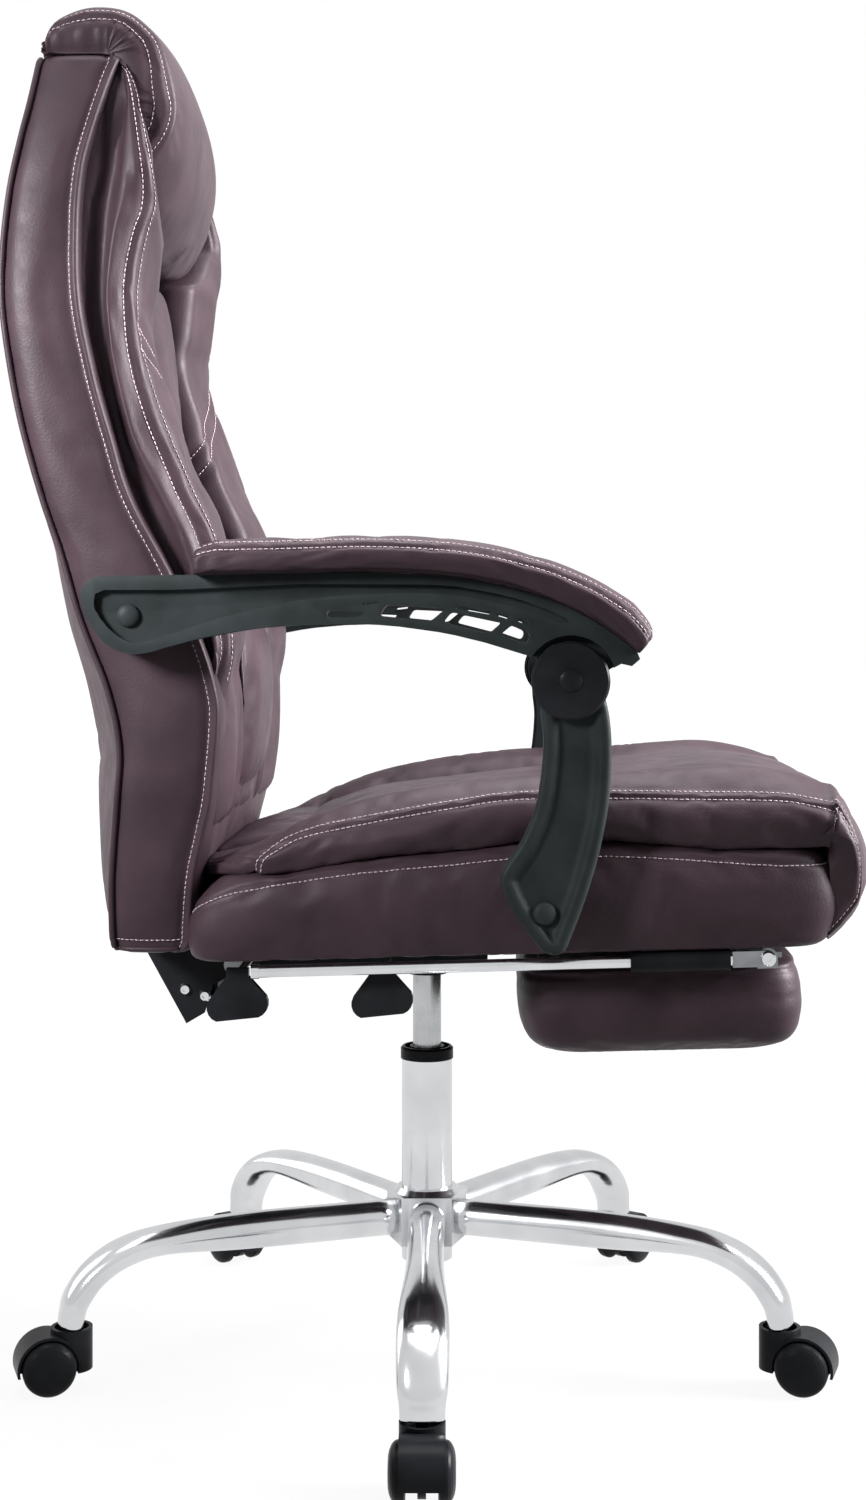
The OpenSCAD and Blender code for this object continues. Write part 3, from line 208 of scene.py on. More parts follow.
leather = bondedLeather("bonded leather", leatherLook)
leatherTight = bondedLeather("bonded leather, tight", leatherLook, 0.4)
thread = spunThread("polyester thread")
chrome = chromePlate("bright chrome plate")
satinSteel = drawnSteel("ground steel cylinder", "#b4b6b8", "#c9cbcd", 0.2, 0.32)
zincSteel = drawnSteel("zinc-plated steel", "#7d7f82", "#96989b", 0.32, 0.46)
armNylon = mouldedNylon("moulded arm nylon", "#232728", "#2e3334", 1.6, 0.38, 0.52)
blackNylon = mouldedNylon("smooth black nylon", "#151618", "#212225", 3.0, 0.26, 0.36, 0.02)
powderCoat = mouldedNylon("black powder coat", "#121315", "#1c1d20", 2.2, 0.42, 0.56)
plywood = birchPly("birch plywood")

cadFinish = {
    chrome: ["star_hub", "gas_outer_tube", "footrest_rails", "back_hinge_bolts", "footrest_screws"],
    satinSteel: ["gas_cylinder", "gas_rod", "gas_valve_pin", "gas_thrust_bearing"],
    zincSteel: ["caster_sleeves", "mechanism_bolts", "recline_shaft", "footrest_brackets", "height_lever_rod",
                "recline_lever_rod", "footrest_board"],
    powderCoat: ["mechanism_frame", "back_hinge_plates", "footrest_guides"],
    armNylon: ["arm_bolts", "post_bolts"],
    blackNylon: [n for n in nodes if n.startswith("caster_") and n != "caster_sleeves"]
    + ["gas_guide_bush", "height_lever_paddle", "recline_lever_paddle", "post_pin_right", "post_pin_left"],
    plywood: ["seat_board", "back_board"]}
for finish, names in cadFinish.items():
    for name in names:
        nodes[name].data.materials.clear()
        nodes[name].data.materials.append(finish)
say("materials made")

# Lines, grids and meshes


def smoothPath(points, perStep):
    # a Catmull-Rom line through the points, perStep samples from each to the next
    p = np.asarray(points, float)
    a = np.vstack([2 * p[:1] - p[1:2], p, 2 * p[-1:] - p[-2:-1]])
    return threadRings(a[None, 1:-1], perStep)[0]


def threadRings(anchors, perStep):
    # sections x anchors x coordinates: the same smooth line through the anchors of every section at once
    a = np.concatenate([2 * anchors[:, :1] - anchors[:, 1:2], anchors,
                        2 * anchors[:, -1:] - anchors[:, -2:-1]], 1)
    t = np.linspace(0, 1, perStep, endpoint=False)[None, :, None]
    parts = []
    for i in range(anchors.shape[1] - 1):
        p0, p1, p2, p3 = (a[:, i + k][:, None] for k in range(4))
        parts.append(0.5 * (2 * p1 + (p2 - p0) * t + (2 * p0 - 5 * p1 + 4 * p2 - p3) * t ** 2
                            + (3 * p1 - p0 - 3 * p2 + p3) * t ** 3))
    return np.concatenate(parts + [anchors[:, -1:]], 1)


def lineAt(table, at):
    # the value at a key, on a smooth line through [key, value] rows
    path = smoothPath(table, 10)
    return np.interp(at, path[:, 0], path[:, 1])


def evenly(path, spacing):
    # the path's points again, the same distance apart
    run = np.concatenate([[0], np.cumsum(np.linalg.norm(np.diff(path, axis=0), axis=1))])
    at = np.linspace(0, run[-1], max(2, int(round(run[-1] / spacing)) + 1))
    return np.stack([np.interp(at, run, path[:, k]) for k in range(path.shape[1])], 1)


def stack(*columns):
    # the columns side by side on a last axis, stretched to one shape
    return np.stack(np.broadcast_arrays(*columns), -1).astype(float)


def unit(vectors):
    # each vector over its own length
    return vectors / np.maximum(np.linalg.norm(vectors, axis=-1, keepdims=True), 1e-9)


def fadeIn(value, start, span):
    # 0 up to start, then straight up to 1 a span further on
    return np.clip((value - start) / span, 0, 1)


def smoothStep(share):
    # from 0 to 1 with level ends: three squares less two cubes
    return share * share * (3 - 2 * share)


def samples(edges, counts):
    # numbers from edge to edge, evenly spaced in each stretch by its own count
    parts = [np.linspace(a, b, n) for a, b, n in zip(edges, edges[1:], counts)]
    return np.concatenate(parts[:1] + [p[1:] for p in parts[1:]])


def gridNormals(grid):
    # square to both directions of the grid
    return unit(np.cross(np.gradient(grid, axis=0), np.gradient(grid, axis=1)))


def outward(grid):
    # the normals, all turned the way that mostly points away from the middle
    n = gridNormals(grid)
    away = grid - grid.reshape(-1, 3).mean(0)
    return n * np.sign((n * away).sum())


def pressColumns(grid, column, depth, width):
    # a sewn line down one column: the surface sinks by depth, and comes back within width by a bell
    # curve of the distance along its rows
    run = np.concatenate([np.zeros((len(grid), 1)),
                          np.cumsum(np.linalg.norm(np.diff(grid, axis=1), axis=2), 1)], 1)
    column = np.broadcast_to(column, len(grid)).astype(float)
    low = np.clip(column.astype(int), 0, grid.shape[1] - 2)
    rows = np.arange(len(grid))
    at = run[rows, low] + (run[rows, low + 1] - run[rows, low]) * (column - low)
    sink = np.asarray(depth)[..., None] * np.exp(-((run - at[:, None]) / width) ** 2)
    return grid - outward(grid) * sink[..., None]


def pressRows(grid, row, depth, width):
    # the same along one row
    return pressColumns(grid.transpose(1, 0, 2), row, depth, width).transpose(1, 0, 2)


def sampleGrid(grid, rows, columns):
    # points on the grid between its vertices, each a mix of the four round it
    r = np.clip(rows, 0, grid.shape[0] - 1.001)
    c = np.clip(columns, 0, grid.shape[1] - 1.001)
    i, j = r.astype(int), c.astype(int)
    a, b = (r - i)[:, None], (c - j)[:, None]
    return ((grid[i, j] * (1 - b) + grid[i, j + 1] * b) * (1 - a)
            + (grid[i + 1, j] * (1 - b) + grid[i + 1, j + 1] * b) * a)


def atHeights(ring, z):
    # level sections, each carried to its own height
    return np.concatenate([ring, np.broadcast_to(z[:, None, None], ring.shape[:2] + (1,))], 2)


def withEnds(grid):
    # the grid's points, then the middle of its first and of its last section
    return np.vstack([grid.reshape(-1, 3), grid[0].mean(0), grid[-1].mean(0)])


def ringFaces(rows, columns):
    # quads over the grid, closed round each row
    i, j = np.meshgrid(np.arange(rows - 1), np.arange(columns), indexing="ij")
    k = (j + 1) % columns
    quads = np.stack([i * columns + j, i * columns + k, (i + 1) * columns + k, (i + 1) * columns + j], -1)
    return quads.reshape(-1, 4).tolist()


def closedFaces(rows, columns):
    # the same quads, with a fan over each end to the points that withEnds adds
    faces = ringFaces(rows, columns)
    first, last = rows * columns, rows * columns + 1
    for c in range(columns):
        d = (c + 1) % columns
        faces.append([first, d, c])
        faces.append([last, (rows - 1) * columns + c, (rows - 1) * columns + d])
    return faces


def addPiece(name, mesh, material, body, stands):
    # an object for a finished mesh: it rides on a body and stands for the CAD nodes that are named
    mesh.materials.append(material)
    mesh.polygons.foreach_set("use_smooth", [True] * len(mesh.polygons))
    piece = bpy.data.objects.new(name, mesh)
    scene.collection.objects.link(piece)
    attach(piece, body)
    if stands:
        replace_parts(piece, *stands)
    return piece


def makeMesh(name, points, faces, material, body, slot, stands=()):
    # a piece from points in millimetres, with its faces turned outwards
    mesh = bpy.data.meshes.new(name)
    mesh.from_pydata((np.asarray(points) / 1000).tolist(), [], faces)
    shape = bmesh.new()
    shape.from_mesh(mesh)
    bmesh.ops.recalc_face_normals(shape, faces=shape.faces)
    shape.to_mesh(mesh)
    shape.free()
    return addPiece(name, mesh, material, body, stands)


coverCloth = {"frames": 12, "quality": 4, "mass": 0.4, "stretch": 22, "shear": 12, "bend": 0.7}


def puff(piece, pinned, growth, pressure, cap):
    # foam under a cover cut slightly too large: the cloth swells and puckers between its sewn lines,
    # and no point moves further than the cap
    rest = np.zeros(len(piece.data.vertices) * 3)
    piece.data.vertices.foreach_get("co", rest)
    rest = rest.reshape(-1, 3)
    parent, piece.parent = piece.parent, None
    sewn = piece.vertex_groups.new(name="sewn")
    sewn.add([int(v) for v in pinned], 1.0, "REPLACE")
    cloth = piece.modifiers.new("foam", "CLOTH")
    settings = cloth.settings
    settings.vertex_group_mass = "sewn"
    settings.quality = coverCloth["quality"]
    settings.mass = coverCloth["mass"]
    settings.tension_stiffness = settings.compression_stiffness = coverCloth["stretch"]
    settings.shear_stiffness = coverCloth["shear"]
    settings.bending_stiffness = coverCloth["bend"]
    settings.shrink_min = -growth
    settings.use_pressure = True
    settings.uniform_pressure_force = pressure
    settings.effector_weights.gravity = 0
    cloth.collision_settings.use_collision = False
    cloth.point_cache.frame_start, cloth.point_cache.frame_end = 1, coverCloth["frames"]
    for f in range(1, coverCloth["frames"] + 1):
        scene.frame_set(f)
    after = piece.evaluated_get(bpy.context.evaluated_depsgraph_get()).to_mesh()
    moved = np.zeros(len(rest) * 3)
    after.vertices.foreach_get("co", moved)
    move = moved.reshape(-1, 3) - rest
    far = np.linalg.norm(move, axis=1, keepdims=True)
    move *= np.minimum(1, cap / 1000 / np.maximum(far, 1e-9))
    piece.modifiers.remove(cloth)
    piece.vertex_groups.remove(sewn)
    piece.parent = parent
    piece.data.vertices.foreach_set("co", (rest + move).ravel())
    piece.data.update()
    scene.frame_set(1)
    return (rest + move) * 1000


def sewPiece(name, grid, material, body, node, sewnColumns=(), sewnRows=(), *, growth, pressure, cap):
    # a closed soft form on a grid, blown up between its seams; gives the finished grid back
    rows, columns = grid.shape[:2]
    points, faces, stands = withEnds(grid), closedFaces(rows, columns), [node] if node else ()
    piece = makeMesh(name, points, faces, material, body, "upholstery", stands)
    index = np.arange(rows * columns).reshape(rows, columns)
    pinned = [rows * columns, rows * columns + 1, *index[0], *index[-1], *index[:, 0], *index[:, -1]]
    for c in sewnColumns:
        pinned += index[:, int(c)].tolist()
    for r in sewnRows:
        pinned += index[int(r)].tolist()
    points = puff(piece, sorted(set(pinned)), growth, pressure, cap)
    grid = points[:rows * columns].reshape(grid.shape)
    return grid


# in the profile: place along half the length, share of the radius, and rise over the cover
stitchLook = {"spacing": 4.8, "length": 3.9, "radius": 0.46, "lift": 0.3, "sides": 5,
              "profile": [[-1, 0.25, -0.45], [-0.62, 0.95, 0.1], [0.62, 0.95, 0.1], [1, 0.25, -0.45]]}


def stitchesAlong(paths, normals):
    # short rounded threads laid end to end along each line: rings square to the line, small and low at
    # both ends of a thread, so that the ends sink in the cover
    look = stitchLook
    place, girth, rise = (c[None, :, None, None] for c in np.array(look["profile"]).T)
    along, girth, rise = place * look["length"] / 2, girth * look["radius"], rise + look["lift"]
    turn = np.linspace(0, 2 * np.pi, look["sides"], endpoint=False)[None, None, :, None]
    quads = np.array(ringFaces(len(look["profile"]), look["sides"]))
    each = len(look["profile"]) * look["sides"]
    points, faces, base = [], [], 0
    for path, normal in zip(paths, normals):
        both = evenly(np.hstack([path, normal]), look["spacing"])
        p, n = both[:, :3], both[:, 3:]
        t = unit(np.gradient(p, axis=0))
        n = unit(n - t * (n * t).sum(1, keepdims=True))
        p, t, n, b = (v[:, None, None] for v in (p, t, n, np.cross(t, n)))
        ring = p + t * along + n * (rise + girth * np.sin(turn)) + b * girth * np.cos(turn)
        points.append(ring.reshape(-1, 3))
        starts = base + each * np.arange(len(ring))
        faces += (starts[:, None, None] + quads).reshape(-1, 4).tolist()
        ends = starts[:, None] + np.arange(look["sides"])
        faces += ends[:, ::-1].tolist() + (ends + each - look["sides"]).tolist()
        base += each * len(ring)
    return np.vstack(points), faces


def sewStitches(name, rows, body):
    # rows holds (grid, row numbers, column numbers) of each sewn line
    paths, normals = [], []
    for grid, r, c in rows:
        r, c = np.broadcast_arrays(np.asarray(r, float), np.asarray(c, float))
        paths.append(sampleGrid(grid, r, c))
        normals.append(sampleGrid(outward(grid), r, c))
    makeMesh(name, *stitchesAlong(paths, normals), thread, body, "upholstery")


def piping(name, path, radius):
    # round piping on the back: a circle square to the path at each of its points
    t = unit(np.gradient(path, axis=0))
    up = np.array([0.0, 1.0, 0.0]) if abs(t[:, 1]).mean() < 0.7 else np.array([0.0, 0.0, 1.0])
    n = unit(np.cross(t, up))
    b = np.cross(t, n)
    a = np.linspace(0, 2 * np.pi, 12, endpoint=False)[None, :, None]
    grid = path[:, None] + radius * (n[:, None] * np.cos(a) + b[:, None] * np.sin(a))
    makeMesh(name, withEnds(grid), closedFaces(*grid.shape[:2]), leatherTight, "back", "upholstery")


# The back

# every line is [height, place along x] rows, but width gives a share of halfWidth, and bulge how far
# the rear panel stands out
back = {
    "rear": [[432, -275], [490, -273], [563, -266], [610, -263], [660, -273], [720, -296], [780, -314],
             [830, -331], [890, -348], [943, -359], [1000, -367], [1050, -367], [1103, -362], [1148, -354],
             [1183, -347], [1228, -340]],
    "front": [[432, -213], [490, -207], [535, -197], [568, -190], [629, -184], [658, -186], [701, -199],
              [762, -226], [828, -260], [881, -277], [943, -294], [1005, -306], [1072, -308], [1120, -305],
              [1157, -297], [1205, -284], [1228, -276]],
    "width": [[432, 0.86], [500, 0.93], [600, 0.99], [700, 1], [900, 1], [1050, 0.975], [1150, 0.93],
              [1228, 0.85]],
    "halfWidth": 254, "low": 423, "top": 1228,
    "bulge": [[441, 24], [480, 34], [520, 41], [570, 49], [640, 53], [710, 45], [806, 30], [904, 18],
              [1060, 14], [1180, 10], [1221, 3]],
    "bolster": [[520, -196], [545, -176], [560, -171], [600, -166], [645, -166], [675, -168], [705, -161],
                [735, -163], [760, -168], [806, -179], [830, -188], [865, -205], [900, -217], [935, -230],
                [970, -241], [995, -245], [1020, -240], [1080, -235], [1130, -235], [1150, -239], [1174, -245],
                [1198, -251], [1210, -256], [1221, -262]],
    "crease": [[520, -192], [600, -176], [660, -178], [720, -198], [784, -225], [830, -244], [879, -265],
               [940, -279], [1001, -287], [1076, -285], [1125, -279], [1174, -275], [1205, -271],
               [1221, -268]],
    "bandRear": [[520, -193], [560, -181], [650, -179], [700, -172], [784, -191], [841, -215], [903, -240],
                 [952, -254], [1001, -259], [1027, -258.5], [1063, -252], [1088, -244], [1115, -243],
                 [1162, -250], [1198, -257], [1221, -265]],
    "bandFront": [[520, -190], [560, -175], [650, -171], [700, -165], [784, -177], [841, -202], [903, -227.5],
                  [952, -242.6], [1001, -250], [1027, -249], [1063, -242.6], [1093, -234.6], [1120, -236],
                  [1150, -242], [1174, -247], [1198, -253], [1221, -263]],
    "middle": [[520, -195], [545, -181], [560, -174], [600, -164], [640, -161], [690, -162], [720, -171],
               [760, -191], [800, -216], [868, -247], [940, -256], [1000, -262], [1040, -268], [1070, -274]]}

# rim is [share that it is shut, place across] of an end; over and fall are the section's points over the
# back and down its front: [place along x, share of the rise or of the drop]
pillow = {
    "halfWidth": 207, "low": 1062, "arch": 60, "power": 2.4, "rise": 54, "sag": 11, "recede": 12, "skew": 12,
    "rim": [[0, 199], [0.012, 203], [0.04, 206], [0.09, 208.2], [0.16, 209.6], [0.25, 210], [0.35, 211.6],
            [0.5, 212.6], [0.68, 212.4], [0.85, 210.8], [0.97, 209]],
    "over": [[-339, 0], [-338, 0.28], [-329, 0.7], [-306, 0.95], [-284, 1], [-262, 0.9], [-244, 0.58],
             [-232, 0.18]],
    "fall": [[-222, 1.2], [-219.5, 1.0], [-221, 0.78], [-226.5, 0.56], [-235.5, 0.36], [-248, 0.157],
             [-262, 0.03]]}


def backWidth(z):
    # half the back's width at a height
    return back["halfWidth"] * lineAt(back["width"], z)


def easeEnd(gap, radius):
    # how far a form draws in at a gap from its end, as a quarter circle
    near = np.clip(1 - gap / radius, 0, 1)
    return radius * (1 - np.sqrt(np.maximum(0, 1 - near ** 2)))


def sidePanel():
    # boxed side of the back: level sections, from the rear seam round the side to the front seam
    z = samples([back["low"], 437, 1219, back["top"]], [10, 110, 6])
    w, r, f = backWidth(z), lineAt(back["rear"], z), lineAt(back["front"], z) + 12
    e = easeEnd(z - back["low"], 13) + easeEnd(back["top"] - z, 8)
    half = [stack(r + e, 0 * z), stack(r + e, 0.5 * w), stack(r + e, 0.93 * w - e),
            stack(r + 4 + e, 0.965 * w - e), stack(0.78 * r + 0.22 * f, w - 1 - e),
            stack(0.45 * r + 0.55 * f, w + 1.5 - e), stack(f - 13 - e, 0.995 * w - e),
            stack(f - e, 0.96 * w - e), stack(f - e, 0.5 * w)]
    halfRing = threadRings(np.stack(half, 1), 7)
    ring = np.concatenate([halfRing * [1, -1], halfRing[:, :0:-1]], 1)
    grid = atHeights(ring, z)
    last = ring.shape[1]
    rearSeam, frontSeam, lowSeam = 16, 43, 7  # two columns and a row of the grid
    for c in (frontSeam, last - frontSeam):
        grid = pressColumns(grid, c, 1.5, 3)
    grid = pressRows(grid, lowSeam, 1.0, 3)
    held = [*range(rearSeam + 2), *range(last - rearSeam - 1, last), frontSeam, last - frontSeam,
            *range(frontSeam + 6, last - frontSeam - 6)]
    grid = sewPiece("backSidePanel", grid, leather, "back", "back_side_cushion", held, growth=0.001,
                    pressure=0.3, cap=1.5)
    rows = np.arange(4, len(z) - 2)
    trim = np.arange(rearSeam, frontSeam)
    lines = [(grid, rows, c) for c in (frontSeam, last - frontSeam, rearSeam + 2.6, last - rearSeam - 2.6)]
    lines += [(grid, np.full(len(trim), lowSeam + 1.6), c) for c in (trim, last - trim)]
    sewStitches("backSideStitches", lines, "back")
    for side, rear, front in (("Right", rearSeam, frontSeam), ("Left", last - rearSeam, last - frontSeam)):
        piping("backPiping" + side, sampleGrid(grid, rows, np.full(len(rows), rear)), 2.9)
        piping("backWelt" + side, sampleGrid(grid, np.full(27, 3), np.linspace(rear, front, 27)), 2.4)


def rearPanel():
    # rear panel: level sections that bulge between the two piped seams, by one less the place across to
    # a power
    low, top = 441, 1221
    z = np.linspace(low, top, 96)
    w, r, bulge = 0.935 * backWidth(z), lineAt(back["rear"], z), lineAt(back["bulge"], z)
    e = easeEnd(np.minimum(z - low, top - z), 14)
    across = np.array([1, 0.99, 0.95, 0.86, 0.7, 0.45, 0.15, -0.15, -0.45, -0.7, -0.86, -0.95, -0.99, -1])
    edge = 2.5 * np.minimum(1, (1 - np.abs(across)) * 12) ** 0.6
    x = r[:, None] - 1 - (edge + bulge[:, None] * (1 - np.abs(across) ** 1.6)) + e[:, None] * 0.8
    ring = threadRings(stack(x, (w - e * 0.3)[:, None] * across), 5)
    sewPiece("backRearPanel", atHeights(ring, z), leather, "back", "back_rear_panel", growth=0.004,
             pressure=0.6, cap=3)


def bolster(side, name):
    # one bolster: level sections through its inner edge, crown, sewn band, crease and outer strip.
    # Under the waist the band and the crease run out; over the shoulder it tapers beside the pillow.
    low, top = 524, 1221
    z = samples([low, low + 22, top - 17, top], [8, 108, 7])
    w, f, b = backWidth(z), lineAt(back["front"], z) + 1, lineAt(back["bolster"], z)
    crease, bandRear, bandFront = (lineAt(back[k], z) for k in ("crease", "bandRear", "bandFront"))
    arch = np.clip((z - pillow["low"]) / pillow["arch"], 0, 2) ** (1 / pillow["power"])
    inner = np.minimum(np.clip(pillow["halfWidth"] * arch + 4, 97, 216), w - 9)
    e = easeEnd(z - low, 20) + 6 * fadeIn(z, top - 9, 9) ** 2
    sewn = smoothStep(fadeIn(z, 640, 60))
    span = w - inner
    anchors = np.stack([
        stack(f, inner + 3), stack(f + 0.45 * (b - f), inner - 1 + e),
        stack(f + 0.8 * (b - f), inner + 0.05 * span + e), stack(b - 7 - e, inner + 0.2 * span),
        stack(b - 1.5 - e, inner + 0.42 * span), stack(b - e, inner + 0.6 * span),
        stack(bandFront + 1 - e - 3 * (1 - sewn), w - np.minimum(25, 0.3 * span) - e * 0.5),
        stack(bandRear - e - 9 * (1 - sewn), w - np.minimum(15, 0.17 * span) - e),
        stack(0.55 * bandRear + 0.45 * crease - e * 0.5 - 8 * (1 - sewn), w - 7 - e),
        stack(crease + 6 * sewn - 5 * (1 - sewn), w - 4 - 11 * sewn - e),
        stack(0.45 * crease + 0.55 * f + 2 * sewn, w - 3 - 6 * sewn - e), stack(f, w - 8 - e)], 1)
    ring = threadRings(anchors, 6)
    ring[..., 1] *= side
    grid = atHeights(ring, z)
    columns = np.arange(ring.shape[1])
    bandIn, bandOut, creaseAt = 36, 42, 54  # columns of the band's two seams and of the crease
    for c in (bandIn, bandOut):
        grid = pressColumns(grid, c, 1.6 * sewn, 3)
    grid = pressColumns(grid, creaseAt, 6.5 * sewn * np.clip((top - z) / 40, 0.2, 1), 8)
    share, seamEnd = columns / columns[-1], 0.56
    cross = [np.interp(864 + 122 * np.clip(share / seamEnd, 0, 1) ** 0.85 - lower, z, np.arange(len(z)))
             for lower in (0, 20)]
    fade = fadeIn(share, 0, 0.08) * fadeIn(-share, -seamEnd, 0.04)
    for row in cross:
        grid = pressRows(grid, row, 4.0 * fade, 8)
    grid = sewPiece(name, grid, leather, "back", None, [bandIn, bandOut, creaseAt, *range(60, 67)],
                    growth=0.003, pressure=0.8, cap=3)
    rows = np.arange(np.searchsorted(z, 668), len(z) - 1)
    walk = np.linspace(5, bandIn, 60)
    sewStitches(name + "Stitches", [(grid, rows, bandIn - 0.2), (grid, rows, bandOut + 0.2)]
                + [(grid, np.interp(walk, columns, row), walk) for row in cross], "back")
    return bpy.data.objects[name]


def middleCushion():
    # middle cushion of the back: level sections with a flat crown and rounded sides, sewn across low down
    low, top = 524, 1066
    z = samples([low, low + 22, top - 16, top], [8, 90, 6])
    f, m = lineAt(back["front"], z) + 1, lineAt(back["middle"], z)
    e = easeEnd(np.minimum(z - low, top - z), 22)
    side = [f, f + 0.5 * (m - f), m - 9 - e, m - 2.5 - e, m - e]
    x = np.stack(side + [m + 1 - e] + side[::-1], 1)
    y = np.array([-90, -96, -92, -74, -45, 0, 45, 74, 92, 96, 90])
    grid = atHeights(threadRings(stack(x, y), 6), z)
    seam = np.interp(560, z, np.arange(len(z)))
    grid = pressRows(grid, seam, 6, 9)
    sewPiece("backMiddleCushion", grid, leather, "back", "back_middle_cushion", [12, 48], [round(float(seam))],
             growth=0.006, pressure=1.4, cap=5)


def headPillow():
    # head pillow: upright sections folded over the top of the back; at each end the outer arc
    # turns over a rounded rim and closes on the inner one, which makes the gathered crescent
    rim = np.array(pillow["rim"])
    main = np.linspace(-193, 193, 75)
    y = np.concatenate([-rim[::-1, 1], main, rim[:, 1]])
    shut = np.concatenate([rim[::-1, 0], 0 * main, rim[:, 0]])
    s = np.abs(y) / pillow["halfWidth"]
    low = pillow["low"] + pillow["arch"] * s ** pillow["power"]
    top = back["top"] + 1
    rise = pillow["rise"] - pillow["sag"] * s ** 2
    drop = top - 46 - low
    recede = pillow["recede"] * s ** 3 + pillow["skew"] * y / pillow["halfWidth"]
    lowFront = lineAt(back["front"], low)
    anchors = [stack(x - recede * fadeIn(x, -262, 30), top + rise * k) for x, k in pillow["over"]]
    anchors += [stack(x - recede * fadeIn(x, -262, 30), low + drop * k) for x, k in pillow["fall"]]
    outer = threadRings(np.stack(anchors + [stack(lowFront + 1, low + 5)], 1), 5)
    target = stack(np.where(outer[..., 1] > top, np.clip(outer[..., 0], -337, -280),
                            lineAt(back["front"], np.minimum(outer[..., 1], back["top"])) + 1),
                   np.minimum(outer[..., 1], top))
    outer = outer + (target - outer) * shut[:, None, None]
    count = outer.shape[1]
    upZ = low[:, None] + 5 + (back["top"] - low[:, None] - 5) * np.linspace(0, 1, 9)[None, 1:]
    behind = stack(lineAt(back["front"], upZ) + 1, upZ)
    over = stack(np.linspace(-285, -332, 4) + 0 * y[:, None], top)
    ring = np.concatenate([outer, behind, over], 1)
    grid = stack(ring[..., 0], y[:, None], ring[..., 1])
    last = len(y) - 1
    along = np.linspace(0, 1, count)
    random = np.random.default_rng(7)
    for rows, way in ((range(0, 6), -1), (range(last - 5, last + 1), 1)):
        folds = sum(a * np.sin(2 * np.pi * (f * along + p)) for f, p, a in
                    zip((17, 29, 43), random.random(3), (0.5, 0.8, 0.6)))
        for r in rows:
            gather = 2.1 * fadeIn(shut[r], 0.25, 0.1) * fadeIn(-shut[r], -1.02, 0.7)
            grid[r, :count, 1] += way * gather * folds
    bandRows = [5, 8, last - 8, last - 5]
    for r in bandRows:
        grid = pressRows(grid, float(r), 1.8, 3)
    grid = sewPiece("headPillow", grid, leather, "back", "head_pillow", [0, *range(count - 2, ring.shape[1])],
                    [0, 1, 2, *bandRows, last - 2, last - 1, last], growth=0.008, pressure=1.8, cap=5)
    down = np.arange(2, count - 2).astype(float)
    sewStitches("headPillowStitches", [(grid, r + 0.0, down) for r in bandRows], "back")


sidePanel()
rearPanel()
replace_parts(bolster(-1, "backBolsterRight"), "back_bolsters")
bolster(1, "backBolsterLeft")
middleCushion()
headPillow()
say("back made")

# The seat

# seam, crown and stitch are [x, height] rows, and wing is [x, rise over the crown]. roll is [degrees up
# from straight ahead, reach]. boxProfile is [inset, share of the way up the wall], and past 1 the share
# of the way from the seam to the rim is added.
seat = {
    "halfWidth": 255, "rear": -205, "front": 364, "bottom": 426, "tilt": 1.72, "lip": 10, "boxTop": 511,
    "boxSlope": 0.055, "blunt": 0.13,
    "boxProfile": [[34, 0], [12, 0], [5, 0.02], [1.5, 0.08], [0, 0.2], [-1.5, 0.4], [-1.5, 0.62], [-0.5, 0.82],
                   [0, 0.95], [2, 1.08], [6, 1.4], [14, 1.75], [40, 2]],
    "seam": [[-205, 460], [-188, 474], [-150, 487], [-60, 502], [30, 511], [110, 519], [200, 518], [310, 511],
             [364, 511]],
    "crown": [[-191, 507], [-150, 519], [-107, 530], [-50, 543], [50, 556], [150, 567], [240, 578], [290, 581],
              [335, 577], [362, 571]],
    "wing": [[-191, 0], [-150, 1], [-110, 10], [-60, 16], [5, 21], [95, 21], [200, 13], [290, 10], [330, 7],
             [362, 3]],
    "stitch": [[-191, 505], [-135, 517], [-99, 531.5], [-40.6, 544], [37, 557.7], [89, 564.5], [167, 565.7],
               [245.6, 565], [315, 564], [345.6, 559.6], [362, 556]],
    "roll": [[-88, 95], [-76, 97], [-65, 94], [-56, 89], [-44, 86], [-31, 73], [-14, 57], [8, 43], [40, 36],
             [65, 37], [90, 40]]}


def seatBottom(x):
    # the seat's underside, tilted up to the front
    return seat["bottom"] + x * math.tan(math.radians(seat["tilt"]))


def boxTop(x):
    # the flat top of the lower cushion
    return seat["boxTop"] + seat["boxSlope"] * x


def rimTop(x):
    # the lower cushion's top edge, a lip above the seam where that is higher
    return np.maximum(boxTop(x) - 1, lineAt(seat["seam"], x) + seat["lip"])


def superEllipse(halfX, halfY, midX, count, blunt):
    # a rectangle with rounded corners: sine and cosine to a power, the points the same distance apart
    a = np.linspace(0, 2 * np.pi, 6001)
    x = midX + halfX * np.sign(np.cos(a)) * np.abs(np.cos(a)) ** blunt
    y = halfY * np.sign(np.sin(a)) * np.abs(np.sin(a)) ** blunt
    run = np.concatenate([[0], np.cumsum(np.hypot(np.diff(x), np.diff(y)))])
    at = np.linspace(0, run[-1], count, endpoint=False)
    return np.interp(at, run, x), np.interp(at, run, y)


